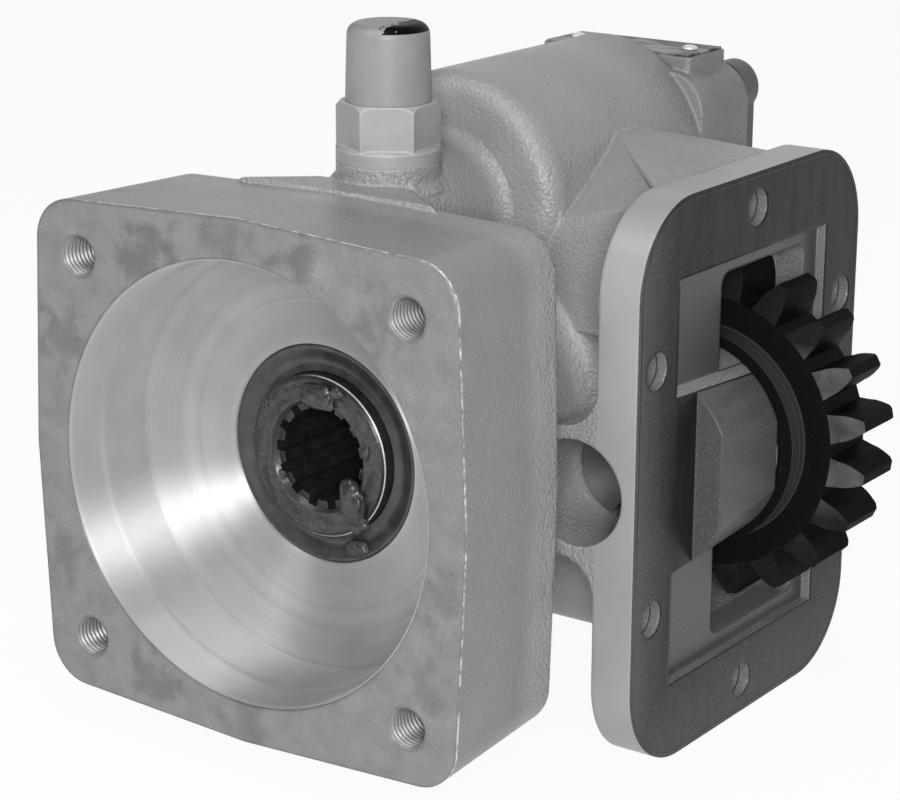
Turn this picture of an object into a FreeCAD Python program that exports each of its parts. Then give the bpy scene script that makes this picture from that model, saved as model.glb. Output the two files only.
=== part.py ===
import FreeCAD, Part
import math
import os

# Power take off unit, all sizes in millimetres.
# Frame: origin where the output shaft axis meets the front face of the pump flange.
# +Y runs into the housing along the shaft, +X runs to the six hole side flange, +Z is up.

# Pump flange, the four hole 127 mm pilot type
PILOT_R = 63.5
PILOT_DEPTH = 13.0
PUMP_PCD = 161.925
PUMP_SQUARE = PUMP_PCD / math.sqrt(2.0)
PUMP_THREAD_R = 6.1
PUMP_DRILL_DEPTH = 30.0
BLOCK_HALF = 73.2
BLOCK_MID = 75.9
BLOCK_CORNER_R = 13.0
BLOCK_DEPTH = 49.0
BLOCK_REAR = (-66.5, 72.0, -70.5, 73.4)
SUMP_R = 62.0

# Side flange, the six hole pattern
SIDE_X = 89.0
SIDE_Y = 127.0
SIDE_Z = -5.0
SIDE_THICK = 13.2
SIDE_HALF_Y = 63.8
SIDE_HALF_Z = 83.5
SIDE_CORNER_R = 27.0
SIDE_HOLE_R = 5.5
SIDE_ROW_Y = 107.95
SIDE_ROW_Z = 73.03
SIDE_LINE_Z = 146.05
RECESS_DEPTH = 3.5
RECESS_HALF_Y = 43.0
RECESS_HALF_Z = 60.3
WINDOW_Y0 = 113.5
WINDOW_Y1 = 163.3
WINDOW_HALF_Z = 55.5

# Gear case
CASE_Y0 = 100.7
CASE_Y1 = 174.0
CASE_Z0 = -66.5
CASE_Z1 = 57.0

# Gears
MODULE = 4.75
IDLER_TEETH = 20
PINION_TEETH = 9
ADDENDUM = 1.0
DEDENDUM = 1.25
CENTRE = MODULE * (IDLER_TEETH + PINION_TEETH) / 2.0
IDLER_Z = SIDE_Z
IDLER_X = math.sqrt(CENTRE ** 2 - IDLER_Z ** 2)
IDLER_TIP_ANGLE = 64.5
GEAR_Y0 = 136.5
GEAR_Y1 = 158.5
HUB_R = 33.3
HUB_Y0 = 129.3
TOOTH_BEVEL_R = 42.5
GEAR_GAP = 2.6
MESH_ANGLE = math.degrees(math.atan2(IDLER_Z, IDLER_X))

# Idler pin and its needle rollers
PIN_R = 15.75
PIN_Y0 = 91.0
PIN_Y1 = 171.0
PIN_BOSS_R = 33.0
PIN_BOSS_END_R = 31.0
PIN_NOSE_R = 19.5
PIN_BOSS_Y0 = 84.0
PIN_BOSS_FACE = 95.1
PIN_BOSS_Y1 = 127.2
PIN_FLAT_X = SIDE_X + 9.0
NEEDLE_R = 3.0
NEEDLE_COUNT = 12
NEEDLE_Y0 = 132.0
NEEDLE_Y1 = 156.0
WASHER_T = 2.0

# Output shaft line
RUN_GAP = 0.05
SHAFT_END_Y = 34.5
SEAL_R = 24.0
SEAT_R = 25.0
SEAL_HEIGHT = 8.5
SEAL_LIP = 3.5
SEAL_BORE_R = SEAL_R + SEAL_HEIGHT
SEAL_Y0 = 38.0
SEAL_Y1 = 46.5
CARRIER_Y0 = 36.5
CARRIER_Y1 = 47.5
OUT_BEARING = (25.0, 45.0, 20.0, 5.5, 10)
OUT_BEARING_Y = (48.5, 70.5)
OUT_BEARING_END = OUT_BEARING_Y[1] + OUT_BEARING[2]
OUT_SHOULDER_R = 27.5
CLIP_THICK = 1.4
CLIP_GROOVE = 1.5
CLIP_FACE = 5.0
CLIP_PLAY = 0.1
OUT_SPACER_WALL = 3.5
OUT_BORE_R = 45.0
CHAMBER_Y1 = 118.0
SPLINE_TEETH = 14
SPLINE_PITCH_R = 14.816
SPLINE_MAJOR_R = 16.1
SPLINE_MINOR_R = 13.8
SPLINE_DEPTH = 50.0
DOG_TEETH = 12
DOG_TIP_R = 22.0
DOG_ROOT_R = 19.6
OUT_DOG_Y0 = 91.8
OUT_DOG_Y1 = 99.0
SLEEVE_R = 30.0
SLEEVE_GROOVE_R = 26.0
SLEEVE_Y0 = 101.0
SLEEVE_Y1 = 117.0
SHIFT_TRAVEL = 9.0
FORK_T = 7.6

# Pinion shaft line
PIN_BEARING = (15.0, 31.0, 16.0, 4.5, 9)
PIN_BEARING_Y = (119.0, 160.5)
PINION_BORE_R = 31.0
PINION_BORE_Y1 = 177.5
PINION_Y0 = 136.0
PINION_Y1 = 159.5

# Shift cylinder above the shafts
SHIFT_Z = 64.0
SHIFT_BODY_R = 38.0
SHIFT_BODY_Y0 = 98.0
BODY_Y1 = 186.0
BARREL_R = 50.5
BARREL_FOOT_R = 68.0
SHIFT_BORE_R = 26.0
SHIFT_BORE_Y0 = 126.0
ROD_R = 7.0
NECK_R = 20.0
ROD_Y0 = 60.0
PISTON_Y0 = 188.0
PISTON_Y1 = 204.0
TOWER_Y1 = 212.0
TOWER_HALF = 37.3
TOWER_Z = 56.6
COVER_HALF = 34.0
COVER_T = 9.0
GASKET_T = 0.8

# Switch on top of the shift rod
SWITCH_Y = 69.0
SWITCH_Z0 = 80.7
SWITCH_COLLAR_R = 15.2
SWITCH_HEX_AF = 26.1
SWITCH_HEX_Z0 = 85.3
SWITCH_HEX_Z1 = 97.9
SWITCH_CAP_R = 12.4
SWITCH_CAP_Z1 = 120.3
SWITCH_STEM_R = 10.0
SWITCH_TURN = 34.4
PLUNGER_R = 3.0

# Nameplate pad
PAD_X = 2.0
PAD_HALF_X = 28.0
PAD_Y0 = 187.2
PAD_Z = 97.0
PLATE_HALF_X = 26.5
PLATE_Y0 = 188.0
PLATE_Y1 = 209.0
RIVET_SPAN = 21.0
RIVET_Y = 198.5
PLATE_T = 0.8


def vec(x, y, z):
    return FreeCAD.Vector(x, y, z)


def along_y(r, y0, y1, x=0.0, z=0.0):
    return Part.makeCylinder(r, y1 - y0, vec(x, y0, z), vec(0, 1, 0))


def along_z(r, z0, z1, x=0.0, y=0.0):
    return Part.makeCylinder(r, z1 - z0, vec(x, y, z0), vec(0, 0, 1))


def cone_y(r0, r1, y0, y1, x=0.0, z=0.0):
    return Part.makeCone(r0, r1, y1 - y0, vec(x, y0, z), vec(0, 1, 0))


def ring_y(r_in, r_out, y0, y1, x=0.0, z=0.0):
    return along_y(r_out, y0, y1, x, z).cut(along_y(r_in, y0 - 1.0, y1 + 1.0, x, z))


def block(x0, x1, y0, y1, z0, z1):
    return Part.makeBox(x1 - x0, y1 - y0, z1 - z0, vec(x0, y0, z0))


def cove_y(r, y, size, x=0.0, z=0.0):
    # concave ring that blends a cylinder about Y into the wall that it runs into at y
    lean = size * (1.0 - math.sqrt(0.5))
    foot = vec(r, y - size, 0)
    edge = vec(r + size, y, 0)
    arc = Part.Arc(foot, vec(r + lean, y - lean, 0), edge).toShape()
    inner = r - 1.0
    back = Part.makePolygon([edge, vec(inner, y, 0), vec(inner, y - size, 0), foot])
    ring = Part.Face(Part.Wire([arc] + back.Edges)).revolve(vec(0, 0, 0), vec(0, 1, 0), 360)
    ring.translate(vec(x, 0, z))
    return ring


def turned(points, x=0.0, z=0.0):
    # points are (radius, y) pairs of a closed half section, turned about an axis along Y
    wire = Part.makePolygon([vec(x + r, y, z) for r, y in points] + [vec(x + points[0][0], points[0][1], z)])
    return Part.Face(wire).revolve(vec(x, 0, z), vec(0, 1, 0), 360)


def prism_y(points, y0, y1):
    # points are (x, z) pairs of a closed outline pushed along Y
    wire = Part.makePolygon([vec(x, y0, z) for x, z in points] + [vec(points[0][0], y0, points[0][1])])
    return Part.Face(wire).extrude(vec(0, y1 - y0, 0))


def round_bar(r, y0, y1, x, z):
    # a repeated roller with twelve flats
    turn = [math.radians(30.0 * k) for k in range(12)]
    return prism_y([(x + r * math.cos(a), z + r * math.sin(a)) for a in turn], y0, y1)


def joined(shapes):
    body = shapes[0]
    for piece in shapes[1:]:
        body = body.fuse(piece)
    return body.removeSplitter()


def round_edges(shape, radius, keep):
    edges = [e for e in shape.Edges if keep(e)]
    return shape.makeFillet(radius, edges)


def is_along(edge, direction):
    a = edge.Vertexes[0].Point
    b = edge.Vertexes[-1].Point
    d = b.sub(a)
    if d.Length < 1e-6:
        return False
    return abs(abs(d.normalize().dot(direction)) - 1.0) < 1e-6


# Toothed outlines

def involute_half_angle(r, pitch_r, base_r, half_pitch):
    # half the angle a tooth takes up at radius r
    def inv(radius):
        a = math.acos(min(1.0, base_r / radius))
        return math.tan(a) - a
    return half_pitch + inv(pitch_r) - inv(max(r, base_r))


def gear_outline(teeth, module, tip_r, root_r, play, start_deg, cx, cz, root_part):
    pitch_r = module * teeth / 2.0
    base_r = pitch_r * math.cos(math.radians(20.0))
    half = math.pi / (2.0 * teeth) - play / (2.0 * pitch_r)
    low = max(root_r + 0.2 * module, base_r)
    radii = [low + (tip_r - low) * k / 4.0 for k in range(5)]
    outline = []
    for tooth in range(teeth):
        mid = math.radians(start_deg) + 2.0 * math.pi * tooth / teeth
        foot = involute_half_angle(low, pitch_r, base_r, half) * root_part
        flank = [(root_r, foot)]
        flank += [(r, involute_half_angle(r, pitch_r, base_r, half)) for r in radii]
        outline += [(r, mid - a) for r, a in flank]
        outline += [(r, mid + a) for r, a in reversed(flank)]
    return [(cx + r * math.cos(a), cz + r * math.sin(a)) for r, a in outline]


def dog_outline(teeth, tip_r, root_r, tip_part, root_part, start_deg=0.0):
    outline = []
    step = 2.0 * math.pi / teeth
    for tooth in range(teeth):
        mid = math.radians(start_deg) + step * tooth
        for r, part in ((root_r, -root_part), (tip_r, -tip_part), (tip_r, tip_part), (root_r, root_part)):
            a = mid + part * step / 2.0
            outline.append((r * math.cos(a), r * math.sin(a)))
    return outline


def rounded_section(x, corners):
    # closed outline in the plane at x through (y, z, radius) corners, with an arc wherever the radius is above zero
    ends = []
    for k, (y, z, r) in enumerate(corners):
        here = vec(x, y, z)
        before = (vec(x, *corners[k - 1][:2]) - here).normalize()
        after = (vec(x, *corners[(k + 1) % len(corners)][:2]) - here).normalize()
        if r == 0.0:
            ends.append((here, None, here))
            continue
        half = before.getAngle(after) / 2.0
        inward = (before + after).normalize()
        middle = here + inward * (r / math.sin(half) - r)
        cut = r / math.tan(half)
        ends.append((here + before * cut, middle, here + after * cut))
    edges = []
    for k, (start, middle, end) in enumerate(ends):
        if middle is not None:
            edges.append(Part.Arc(start, middle, end).toShape())
        edges.append(Part.makeLine(end, ends[(k + 1) % len(ends)][0]))
    return Part.Wire(edges)


# Housing, outside

def block_outline(left, right, bottom, top, bulge, y):
    # four slightly cambered sides, each kinked outwards at its middle, with rounded corners
    r = BLOCK_CORNER_R
    corners = [(left, bottom, 180.0), (right, bottom, 270.0), (right, top, 0.0), (left, top, 90.0)]
    kinks = [(0.0, bottom - bulge), (right + bulge, 0.0), (0.0, top + bulge), (left - bulge, 0.0)]
    edges = []
    rounds = []
    for x, z, start in corners:
        cx = x + r if x == left else x - r
        cz = z + r if z == bottom else z - r
        turn = [math.radians(start + a) for a in (0.0, 45.0, 90.0)]
        rounds.append([vec(cx + r * math.cos(t), y, cz + r * math.sin(t)) for t in turn])
    for k in range(4):
        here = rounds[k]
        after = rounds[(k + 1) % 4]
        kink = vec(kinks[k][0], y, kinks[k][1])
        edges.append(Part.Arc(here[0], here[1], here[2]).toShape())
        edges.append(Part.makeLine(here[2], kink))
        edges.append(Part.makeLine(kink, after[0]))
    return Part.Wire(edges)


def pump_block():
    bulge = BLOCK_MID - BLOCK_HALF
    front = block_outline(-BLOCK_HALF, BLOCK_HALF, -BLOCK_HALF, BLOCK_HALF, bulge, 0.0)
    left, right, bottom, top = BLOCK_REAR
    rear = block_outline(left, right, bottom, top, 1.6, BLOCK_DEPTH)
    body = Part.makeLoft([front, rear], True, True)
    return round_edges(body, 2.5, lambda e: e.BoundBox.YMin > BLOCK_DEPTH - 0.01)


def block_web():
    # cast web that runs from the block back to the switch boss
    points = [(-36.0, 44.0), (36.0, 44.0), (16.5, 60.0), (-16.5, 60.0)]
    wire = Part.makePolygon([vec(x, y, 40.0) for x, y in points + points[:1]])
    body = Part.Face(wire).extrude(vec(0, 0, 35.8))
    return round_edges(body, 3.0, lambda e: e.BoundBox.ZMin > 75.7 and e.BoundBox.YMax > 44.1)


def side_plate():
    x0 = SIDE_X - SIDE_THICK
    body = block(x0, SIDE_X, SIDE_Y - SIDE_HALF_Y, SIDE_Y + SIDE_HALF_Y, SIDE_Z - SIDE_HALF_Z, SIDE_Z + SIDE_HALF_Z)
    return round_edges(body, SIDE_CORNER_R, lambda e: is_along(e, vec(1, 0, 0)))


def upper_body():
    drum = along_y(SHIFT_BODY_R, SHIFT_BODY_Y0, BODY_Y1, 0, SHIFT_Z)
    drum = round_edges(drum, 7.0, lambda e: e.BoundBox.YMax < SHIFT_BODY_Y0 + 0.01)
    web = block(-SHIFT_BODY_R, SHIFT_BODY_R, SHIFT_BODY_Y0 + 4.0, BODY_Y1, 0.0, SHIFT_Z)
    flare = cove_y(NECK_R, SHIFT_BODY_Y0 + 0.5, 6.0, 0, SHIFT_Z - 2.0)
    neck = along_y(NECK_R, BLOCK_DEPTH - 4.0, SHIFT_BODY_Y0 + 1.0, 0, SHIFT_Z - 2.0)
    neck = neck.cut(block(-60, 60, 0, SWITCH_Y - 8.0, 75.0, 100))
    neck = neck.cut(block(-60, 60, 0, SWITCH_Y + SWITCH_COLLAR_R + 1.0, SWITCH_Z0, 100))
    return [drum, web, flare, neck]


def neck_duct():
    # cast shoulder between the shift cylinder, the gear case front and the top of the side plate
    x0 = 28.0
    x1 = SIDE_X - SIDE_THICK + 1.0
    near = [(100.8, 30.0, 0.0), (100.8, 57.2, 9.0), (144.0, 82.2, 4.0), (151.0, 82.2, 4.0), (165.0, 72.0, 3.0),
            (165.0, 30.0, 0.0)]
    far = [(97.5, 30.0, 0.0), (97.5, 71.5, 5.0), (88.0, 76.3, 1.2), (160.5, 77.4, 3.0), (165.0, 72.0, 3.0),
           (165.0, 30.0, 0.0)]
    return Part.makeLoft([rounded_section(x0, near), rounded_section(x1, far)], True, True)


def tower():
    half = TOWER_HALF
    body = block(-half, half, BODY_Y1 - 3.0, TOWER_Y1, TOWER_Z - half, TOWER_Z + half - 1.0)
    body = round_edges(body, 13.0, lambda e: is_along(e, vec(0, 1, 0)))
    pad = block(PAD_X - PAD_HALF_X, PAD_X + PAD_HALF_X, PAD_Y0, TOWER_Y1 - 2.0, TOWER_Z, PAD_Z)
    pad = round_edges(pad, 2.5, lambda e: is_along(e, vec(0, 0, 1)) and e.Vertexes[0].Y > BODY_Y1)
    return [body, pad]


def gear_case():
    x1 = SIDE_X - SIDE_THICK + 1.0
    body = block(20.0, x1, CASE_Y0, CASE_Y1, CASE_Z0, CASE_Z1)
    body = round_edges(body, 18.0, lambda e: is_along(e, vec(1, 0, 0)) and e.Vertexes[0].Z < 0 and
                       e.Vertexes[0].Y < SIDE_Y)
    return round_edges(body, 6.0, lambda e: is_along(e, vec(1, 0, 0)) and e.Vertexes[0].Y > SIDE_Y)


def pin_bosses():
    y0 = SIDE_Y - SIDE_HALF_Y
    back_x = SIDE_X - SIDE_THICK
    nose = along_y(PIN_NOSE_R, y0, CASE_Y0 + 1.0, IDLER_X, IDLER_Z)
    nose = nose.cut(block(SIDE_X, IDLER_X + PIN_NOSE_R + 5.0, 0, 200, -100, 100))
    # concave blends between the nose and the back edge of the plate
    blend_r = 12.0
    cx = back_x - blend_r
    rise = math.sqrt((PIN_NOSE_R + blend_r) ** 2 - (IDLER_X - cx) ** 2)
    blends = []
    for side in (-1, 1):
        z0 = min(IDLER_Z, IDLER_Z + side * rise)
        web = block(IDLER_X - 3.0, back_x + 1.0, y0, PIN_BOSS_Y0, z0, z0 + rise)
        blends.append(web.cut(along_y(blend_r, 0, 200, cx, IDLER_Z + side * rise)))
    far_x = IDLER_X + PIN_BOSS_R + 5.0
    boss = cone_y(PIN_BOSS_R, PIN_BOSS_END_R, PIN_BOSS_Y0, PIN_BOSS_Y1, IDLER_X, IDLER_Z)
    boss = boss.cut(block(0, back_x, 0, CASE_Y0, -100, 100))
    boss = boss.cut(block(PIN_FLAT_X, far_x, 0, 200, -100, 100))
    boss = boss.cut(block(SIDE_X, far_x, 0, PIN_BOSS_FACE, -100, 100))
    rear = along_y(25.0, GEAR_Y1 + WASHER_T + 0.2, CASE_Y1 + 3.0, IDLER_X, IDLER_Z)
    rear = rear.cut(block(SIDE_X - RECESS_DEPTH - 4.0, IDLER_X + 30.0, 0, 200, -100, 100))
    return [nose] + blends, boss, rear


def switch_boss():
    body = along_z(SWITCH_COLLAR_R, SHIFT_Z - 12.0, SWITCH_Z0, 0, SWITCH_Y)
    foot = Part.makeCone(SWITCH_COLLAR_R + 2.2, SWITCH_COLLAR_R, 3.0, vec(0, SWITCH_Y, 73.0), vec(0, 0, 1))
    return [body, foot]


def case_cove():
    # concave blend between the barrel and the front wall of the gear case
    ring = cove_y(BARREL_R, CASE_Y0 + 0.2, 8.0)
    return ring.common(block(21.0, SIDE_X - SIDE_THICK, 0, CASE_Y0 + 1.0, CASE_Z0 + 18.0, CASE_Z1 - 9.0))


# Housing, inside

def shaft_bores():
    pilot = along_y(PILOT_R, -1.0, PILOT_DEPTH)
    mouth = cone_y(PILOT_R + 1.6, PILOT_R, -0.6, 1.0)
    sump = along_y(SUMP_R, 0.0, CARRIER_Y1)
    seat = along_y(OUT_BORE_R, CARRIER_Y1 - 1.0, CHAMBER_Y1)
    clip = along_y(OUT_BORE_R + CLIP_GROOVE, OUT_BEARING_END, OUT_BEARING_END + CLIP_THICK + CLIP_PLAY)
    line = along_y(PINION_BORE_R, CHAMBER_Y1 - 1.0, PINION_BORE_Y1)
    return [pilot, mouth, sump, seat, clip, line]


def shift_bores():
    main = along_y(SHIFT_BORE_R, SHIFT_BORE_Y0, TOWER_Y1 + 1.0, 0, SHIFT_Z)
    rod = along_y(ROD_R + RUN_GAP, ROD_Y0 - SHIFT_TRAVEL - 0.6, SHIFT_BORE_Y0 + 1.0, 0, SHIFT_Z)
    room = along_y(15.0, 95.0, CHAMBER_Y1 - 0.5, 0, SHIFT_Z)
    slot = block(-11.0, 11.0, 95.0, CHAMBER_Y1 - 0.5, 30.0, SHIFT_Z)
    plunger = along_z(SWITCH_STEM_R, SHIFT_Z, SWITCH_Z0 + 5.0, 0, SWITCH_Y)
    return [main, rod, room, slot, plunger]


def window_space():
    x_in = 38.0
    cave = block(x_in, SIDE_X + 1.0, WINDOW_Y0, WINDOW_Y1, SIDE_Z - WINDOW_HALF_Z, SIDE_Z + WINDOW_HALF_Z)
    cave = round_edges(cave, 4.0, lambda e: is_along(e, vec(1, 0, 0)))
    cave = cave.cut(along_y(PINION_BORE_R + 7.0, 100.0, PINION_Y0 - 1.0))
    cave = cave.cut(along_y(PINION_BORE_R + 7.0, PINION_Y1 + 0.5, 200.0))
    swing = along_y(MODULE * (IDLER_TEETH / 2.0 + 1.0) + GEAR_GAP, GEAR_Y0 - 1.5, GEAR_Y1 + 2.0, IDLER_X, IDLER_Z)
    swing = swing.fuse(along_y(HUB_R + GEAR_GAP, HUB_Y0 - 1.0, GEAR_Y0, IDLER_X, IDLER_Z))
    swing = swing.cut(block(SIDE_X - RECESS_DEPTH, 200, 0, 300, -200, 200))
    recess = block(SIDE_X - RECESS_DEPTH, SIDE_X + 1.0, SIDE_Y - RECESS_HALF_Y, SIDE_Y + RECESS_HALF_Y,
                   SIDE_Z - RECESS_HALF_Z, SIDE_Z + RECESS_HALF_Z)
    return cave, swing, recess


def pump_holes():
    half = PUMP_SQUARE / 2.0
    holes = []
    for sx in (-1, 1):
        for sz in (-1, 1):
            x = sx * half
            z = sz * half
            holes.append(along_y(PUMP_THREAD_R, -1.0, PUMP_DRILL_DEPTH, x, z))
    return holes


def side_holes():
    spots = [(sy * SIDE_ROW_Y / 2.0, sz * SIDE_ROW_Z / 2.0) for sy in (-1, 1) for sz in (-1, 1)]
    spots += [(0.0, SIDE_LINE_Z / 2.0), (0.0, -SIDE_LINE_Z / 2.0)]
    holes = []
    for dy, dz in spots:
        start = vec(SIDE_X - SIDE_THICK - 8.0, SIDE_Y + dy, SIDE_Z + dz)
        holes.append(Part.makeCylinder(SIDE_HOLE_R, SIDE_THICK + 9.0, start, vec(1, 0, 0)))
    return holes


def rivet_spots():
    return (PAD_X - RIVET_SPAN, PAD_X + RIVET_SPAN)


def cover_bolt_spots():
    reach = COVER_HALF - 7.2
    return [(sx * reach, TOWER_Z + sz * reach) for sx in (-1, 1) for sz in (-1, 1)]


def housing():
    nose, boss, rear = pin_bosses()
    foot_end = BLOCK_DEPTH + BARREL_FOOT_R - BARREL_R
    outside = [pump_block(), block_web(), cone_y(BARREL_FOOT_R, BARREL_R, BLOCK_DEPTH - 1.0, foot_end)]
    outside += [along_y(BARREL_R, BLOCK_DEPTH - 4.0, BODY_Y1)]
    outside += upper_body() + tower() + [neck_duct(), gear_case(), side_plate(), case_cove()] + switch_boss()
    body = joined(outside)
    cave, swing, recess = window_space()
    keep = boss.cut(block(SIDE_X, 300, 0, PIN_BOSS_FACE, -200, 200))
    body = body.cut(recess.cut(boss)).cut(cave)
    for piece in nose:
        body = body.fuse(piece)
    body = body.fuse(keep).fuse(rear.cut(swing))
    body = body.cut(swing)
    for tool in shaft_bores() + shift_bores() + pump_holes() + side_holes():
        body = body.cut(tool)
    body = body.cut(along_y(PIN_R, 0.0, PIN_Y1, IDLER_X, IDLER_Z).cut(block(0, 300, -1, 62.0, -200, 200)))
    for x, z in cover_bolt_spots():
        body = body.cut(along_y(2.5, TOWER_Y1 - 18.0, TOWER_Y1 + 1.0, x, z))
    for x in rivet_spots():
        body = body.cut(along_z(1.2, PAD_Z - 5.0, PAD_Z + 1.0, x, RIVET_Y))
    return body.removeSplitter()


# Shaft seal and its carrier

def seal_carrier():
    # a shallow dish whose slope eases off in three bands towards the seal
    rows = [(SEAL_BORE_R, CARRIER_Y1), (SEAL_BORE_R, CARRIER_Y0 + 0.9), (SEAL_BORE_R + 0.6, CARRIER_Y0 + 0.5),
            (44.8, CARRIER_Y0 + 0.3), (45.6, CARRIER_Y0 - 0.2), (52.6, CARRIER_Y0 - 1.2), (53.6, CARRIER_Y0 - 2.0),
            (SUMP_R, CARRIER_Y0 - 6.0), (SUMP_R, CARRIER_Y1)]
    return turned(rows)


def shaft_seal():
    rows = [(SEAL_BORE_R, SEAL_Y0), (SEAL_BORE_R, SEAL_Y1), (SEAL_BORE_R - 2.0, SEAL_Y1), (SEAL_BORE_R - 2.0, SEAL_Y0 + 2.4),
            (SEAL_R + SEAL_LIP, SEAL_Y0 + 2.4), (SEAL_R + SEAL_LIP - 0.3, SEAL_Y1 - 3.4),
            (SEAL_R + RUN_GAP, SEAL_Y1 - 2.4), (SEAL_R + 1.2, SEAL_Y0 + 1.6), (SEAL_R + RUN_GAP, SEAL_Y0 + 0.4),
            (SEAL_R + 1.4, SEAL_Y0 + 0.4), (SEAL_BORE_R - 2.5, SEAL_Y0)]
    return turned(rows)


def seal_spring():
    y = SEAL_Y1 - 3.0
    r = SEAL_R + SEAL_LIP + 0.8
    return turned([(r - 0.75, y), (r, y - 0.75), (r + 0.75, y), (r, y + 0.75)])


# Rolling bearings

def bearing_race(bearing, y0, outer):
    r_in, r_out, width, roller, count = bearing
    mid = (r_in + r_out) / 2.0
    if outer:
        rows = [(r_out, y0), (r_out, y0 + width), (mid + roller - 1.6, y0 + width), (mid + roller - 1.6, y0 + width - 2.6),
                (mid + roller + 0.05, y0 + width - 2.6), (mid + roller + 0.05, y0 + 2.6), (mid + roller - 1.6, y0 + 2.6),
                (mid + roller - 1.6, y0)]
    else:
        rows = [(r_in, y0), (r_in, y0 + width), (mid - roller - 0.05, y0 + width), (mid - roller - 0.05, y0)]
    return turned(rows)


def bearing_rollers(bearing, y0):
    r_in, r_out, width, roller, count = bearing
    mid = (r_in + r_out) / 2.0
    turn = [2.0 * math.pi * k / count for k in range(count)]
    return [round_bar(roller, y0 + 2.9, y0 + width - 2.9, mid * math.cos(a), mid * math.sin(a)) for a in turn]


def bearing_cage(bearing, y0):
    r_in, r_out, width, roller, count = bearing
    mid = (r_in + r_out) / 2.0
    body = ring_y(mid - 1.4, mid + 1.4, y0 + 1.2, y0 + width - 1.2)
    for k in range(count):
        a = 2.0 * math.pi * k / count
        body = body.cut(round_bar(roller + 0.4, y0 + 2.6, y0 + width - 2.6, mid * math.cos(a), mid * math.sin(a)))
    return body


# Shafts

def output_shaft():
    seat_y0 = OUT_BEARING_Y[0] - CLIP_PLAY
    dogs_y0 = OUT_DOG_Y0 - 0.2
    rows = [(0.0, SHAFT_END_Y), (SEAL_R - 1.0, SHAFT_END_Y), (SEAL_R, SHAFT_END_Y + 1.0), (SEAL_R, seat_y0),
            (SEAT_R, seat_y0), (SEAT_R, OUT_BEARING_END), (OUT_SHOULDER_R, OUT_BEARING_END), (OUT_SHOULDER_R, dogs_y0),
            (DOG_TIP_R, dogs_y0), (DOG_TIP_R, OUT_DOG_Y1), (0.0, OUT_DOG_Y1)]
    body = turned(rows)
    teeth = prism_y(dog_outline(DOG_TEETH, DOG_TIP_R + 2.0, DOG_ROOT_R, 0.46, 0.48), OUT_DOG_Y0, OUT_DOG_Y1 + 1.0)
    collar = ring_y(DOG_ROOT_R - 0.5, DOG_TIP_R + 1.0, OUT_DOG_Y0, OUT_DOG_Y1 + 1.0).cut(teeth)
    body = body.cut(collar)
    deep = SHAFT_END_Y + SPLINE_DEPTH
    space = along_y(SPLINE_MINOR_R, SHAFT_END_Y - 1.0, deep)
    cutter = prism_y(dog_outline(SPLINE_TEETH, SPLINE_MAJOR_R, SPLINE_MINOR_R - 0.4, 0.38, 0.56), SHAFT_END_Y - 1.0, deep)
    relief = along_y(SPLINE_MAJOR_R + 0.4, deep - 4.0, deep)
    mouth = cone_y(SPLINE_MAJOR_R + 2.4, SPLINE_MAJOR_R - 0.4, SHAFT_END_Y - 0.6, SHAFT_END_Y + 2.2)
    return body.cut(space).cut(cutter).cut(relief).cut(mouth)


def pinion_shaft():
    tip = MODULE * (PINION_TEETH / 2.0 + ADDENDUM) - 0.6
    root = MODULE * (PINION_TEETH / 2.0 - DEDENDUM)
    start = MESH_ANGLE + 180.0 / PINION_TEETH * pinion_phase()
    outline = gear_outline(PINION_TEETH, MODULE, tip, root, 0.5, start, 0.0, 0.0, 0.86)
    teeth = prism_y(outline, PINION_Y0, PINION_Y1)
    hub = prism_y(dog_outline(DOG_TEETH, DOG_TIP_R, DOG_ROOT_R, 0.46, 0.48), 100.5, 118.0)
    first = PIN_BEARING_Y[0]
    core = along_y(PIN_BEARING[0], 117.0, PINION_Y0 + 1.0)
    tail = along_y(PIN_BEARING[0], PINION_Y1 - 1.0, PIN_BEARING_Y[1] + PIN_BEARING[2] + 0.5)
    collar = along_y(DOG_ROOT_R - 0.6, 118.0, first)
    return joined([teeth, hub, collar, core, tail])


def pinion_phase():
    # a pinion tooth gap faces the idler when an idler tooth points at the pinion axis
    pitch = 360.0 / IDLER_TEETH
    facing = (MESH_ANGLE + 180.0 - IDLER_TIP_ANGLE) / pitch
    offset = (facing - math.floor(facing)) * 2.0
    return 1.0 + offset


def idler_gear():
    tip = MODULE * (IDLER_TEETH / 2.0 + ADDENDUM)
    root = MODULE * (IDLER_TEETH / 2.0 - DEDENDUM)
    outline = gear_outline(IDLER_TEETH, MODULE, tip, root, 0.3, IDLER_TIP_ANGLE, IDLER_X, IDLER_Z, 1.22)
    teeth = prism_y(outline, GEAR_Y0, GEAR_Y1)
    blank = turned([(0.0, GEAR_Y0), (TOOTH_BEVEL_R, GEAR_Y0), (tip + 0.1, GEAR_Y0 + 2.8), (tip + 0.1, GEAR_Y1 - 1.2),
                    (tip - 1.2, GEAR_Y1), (0.0, GEAR_Y1)], IDLER_X, IDLER_Z)
    hub = along_y(HUB_R, HUB_Y0, GEAR_Y0 + 1.0, IDLER_X, IDLER_Z)
    bore = along_y(PIN_R + 2.0 * NEEDLE_R + 0.1, 100.0, 200.0, IDLER_X, IDLER_Z)
    return joined([teeth.common(blank), hub]).cut(bore)


# Pin group

def idler_pin():
    body = turned([(0.0, PIN_Y0), (PIN_R - 0.6, PIN_Y0), (PIN_R, PIN_Y0 + 0.6), (PIN_R, PIN_Y1), (0.0, PIN_Y1)],
                  IDLER_X, IDLER_Z)
    slot = block(-PIN_R - 1.0, PIN_R + 1.0, PIN_Y0 - 1.0, PIN_Y0 + 3.0, -0.7, 0.7)
    slot.rotate(vec(0, 0, 0), vec(0, 1, 0), -50.0)
    slot.translate(vec(IDLER_X + 6.0, 0, IDLER_Z - 3.0))
    return body.cut(slot)


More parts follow.
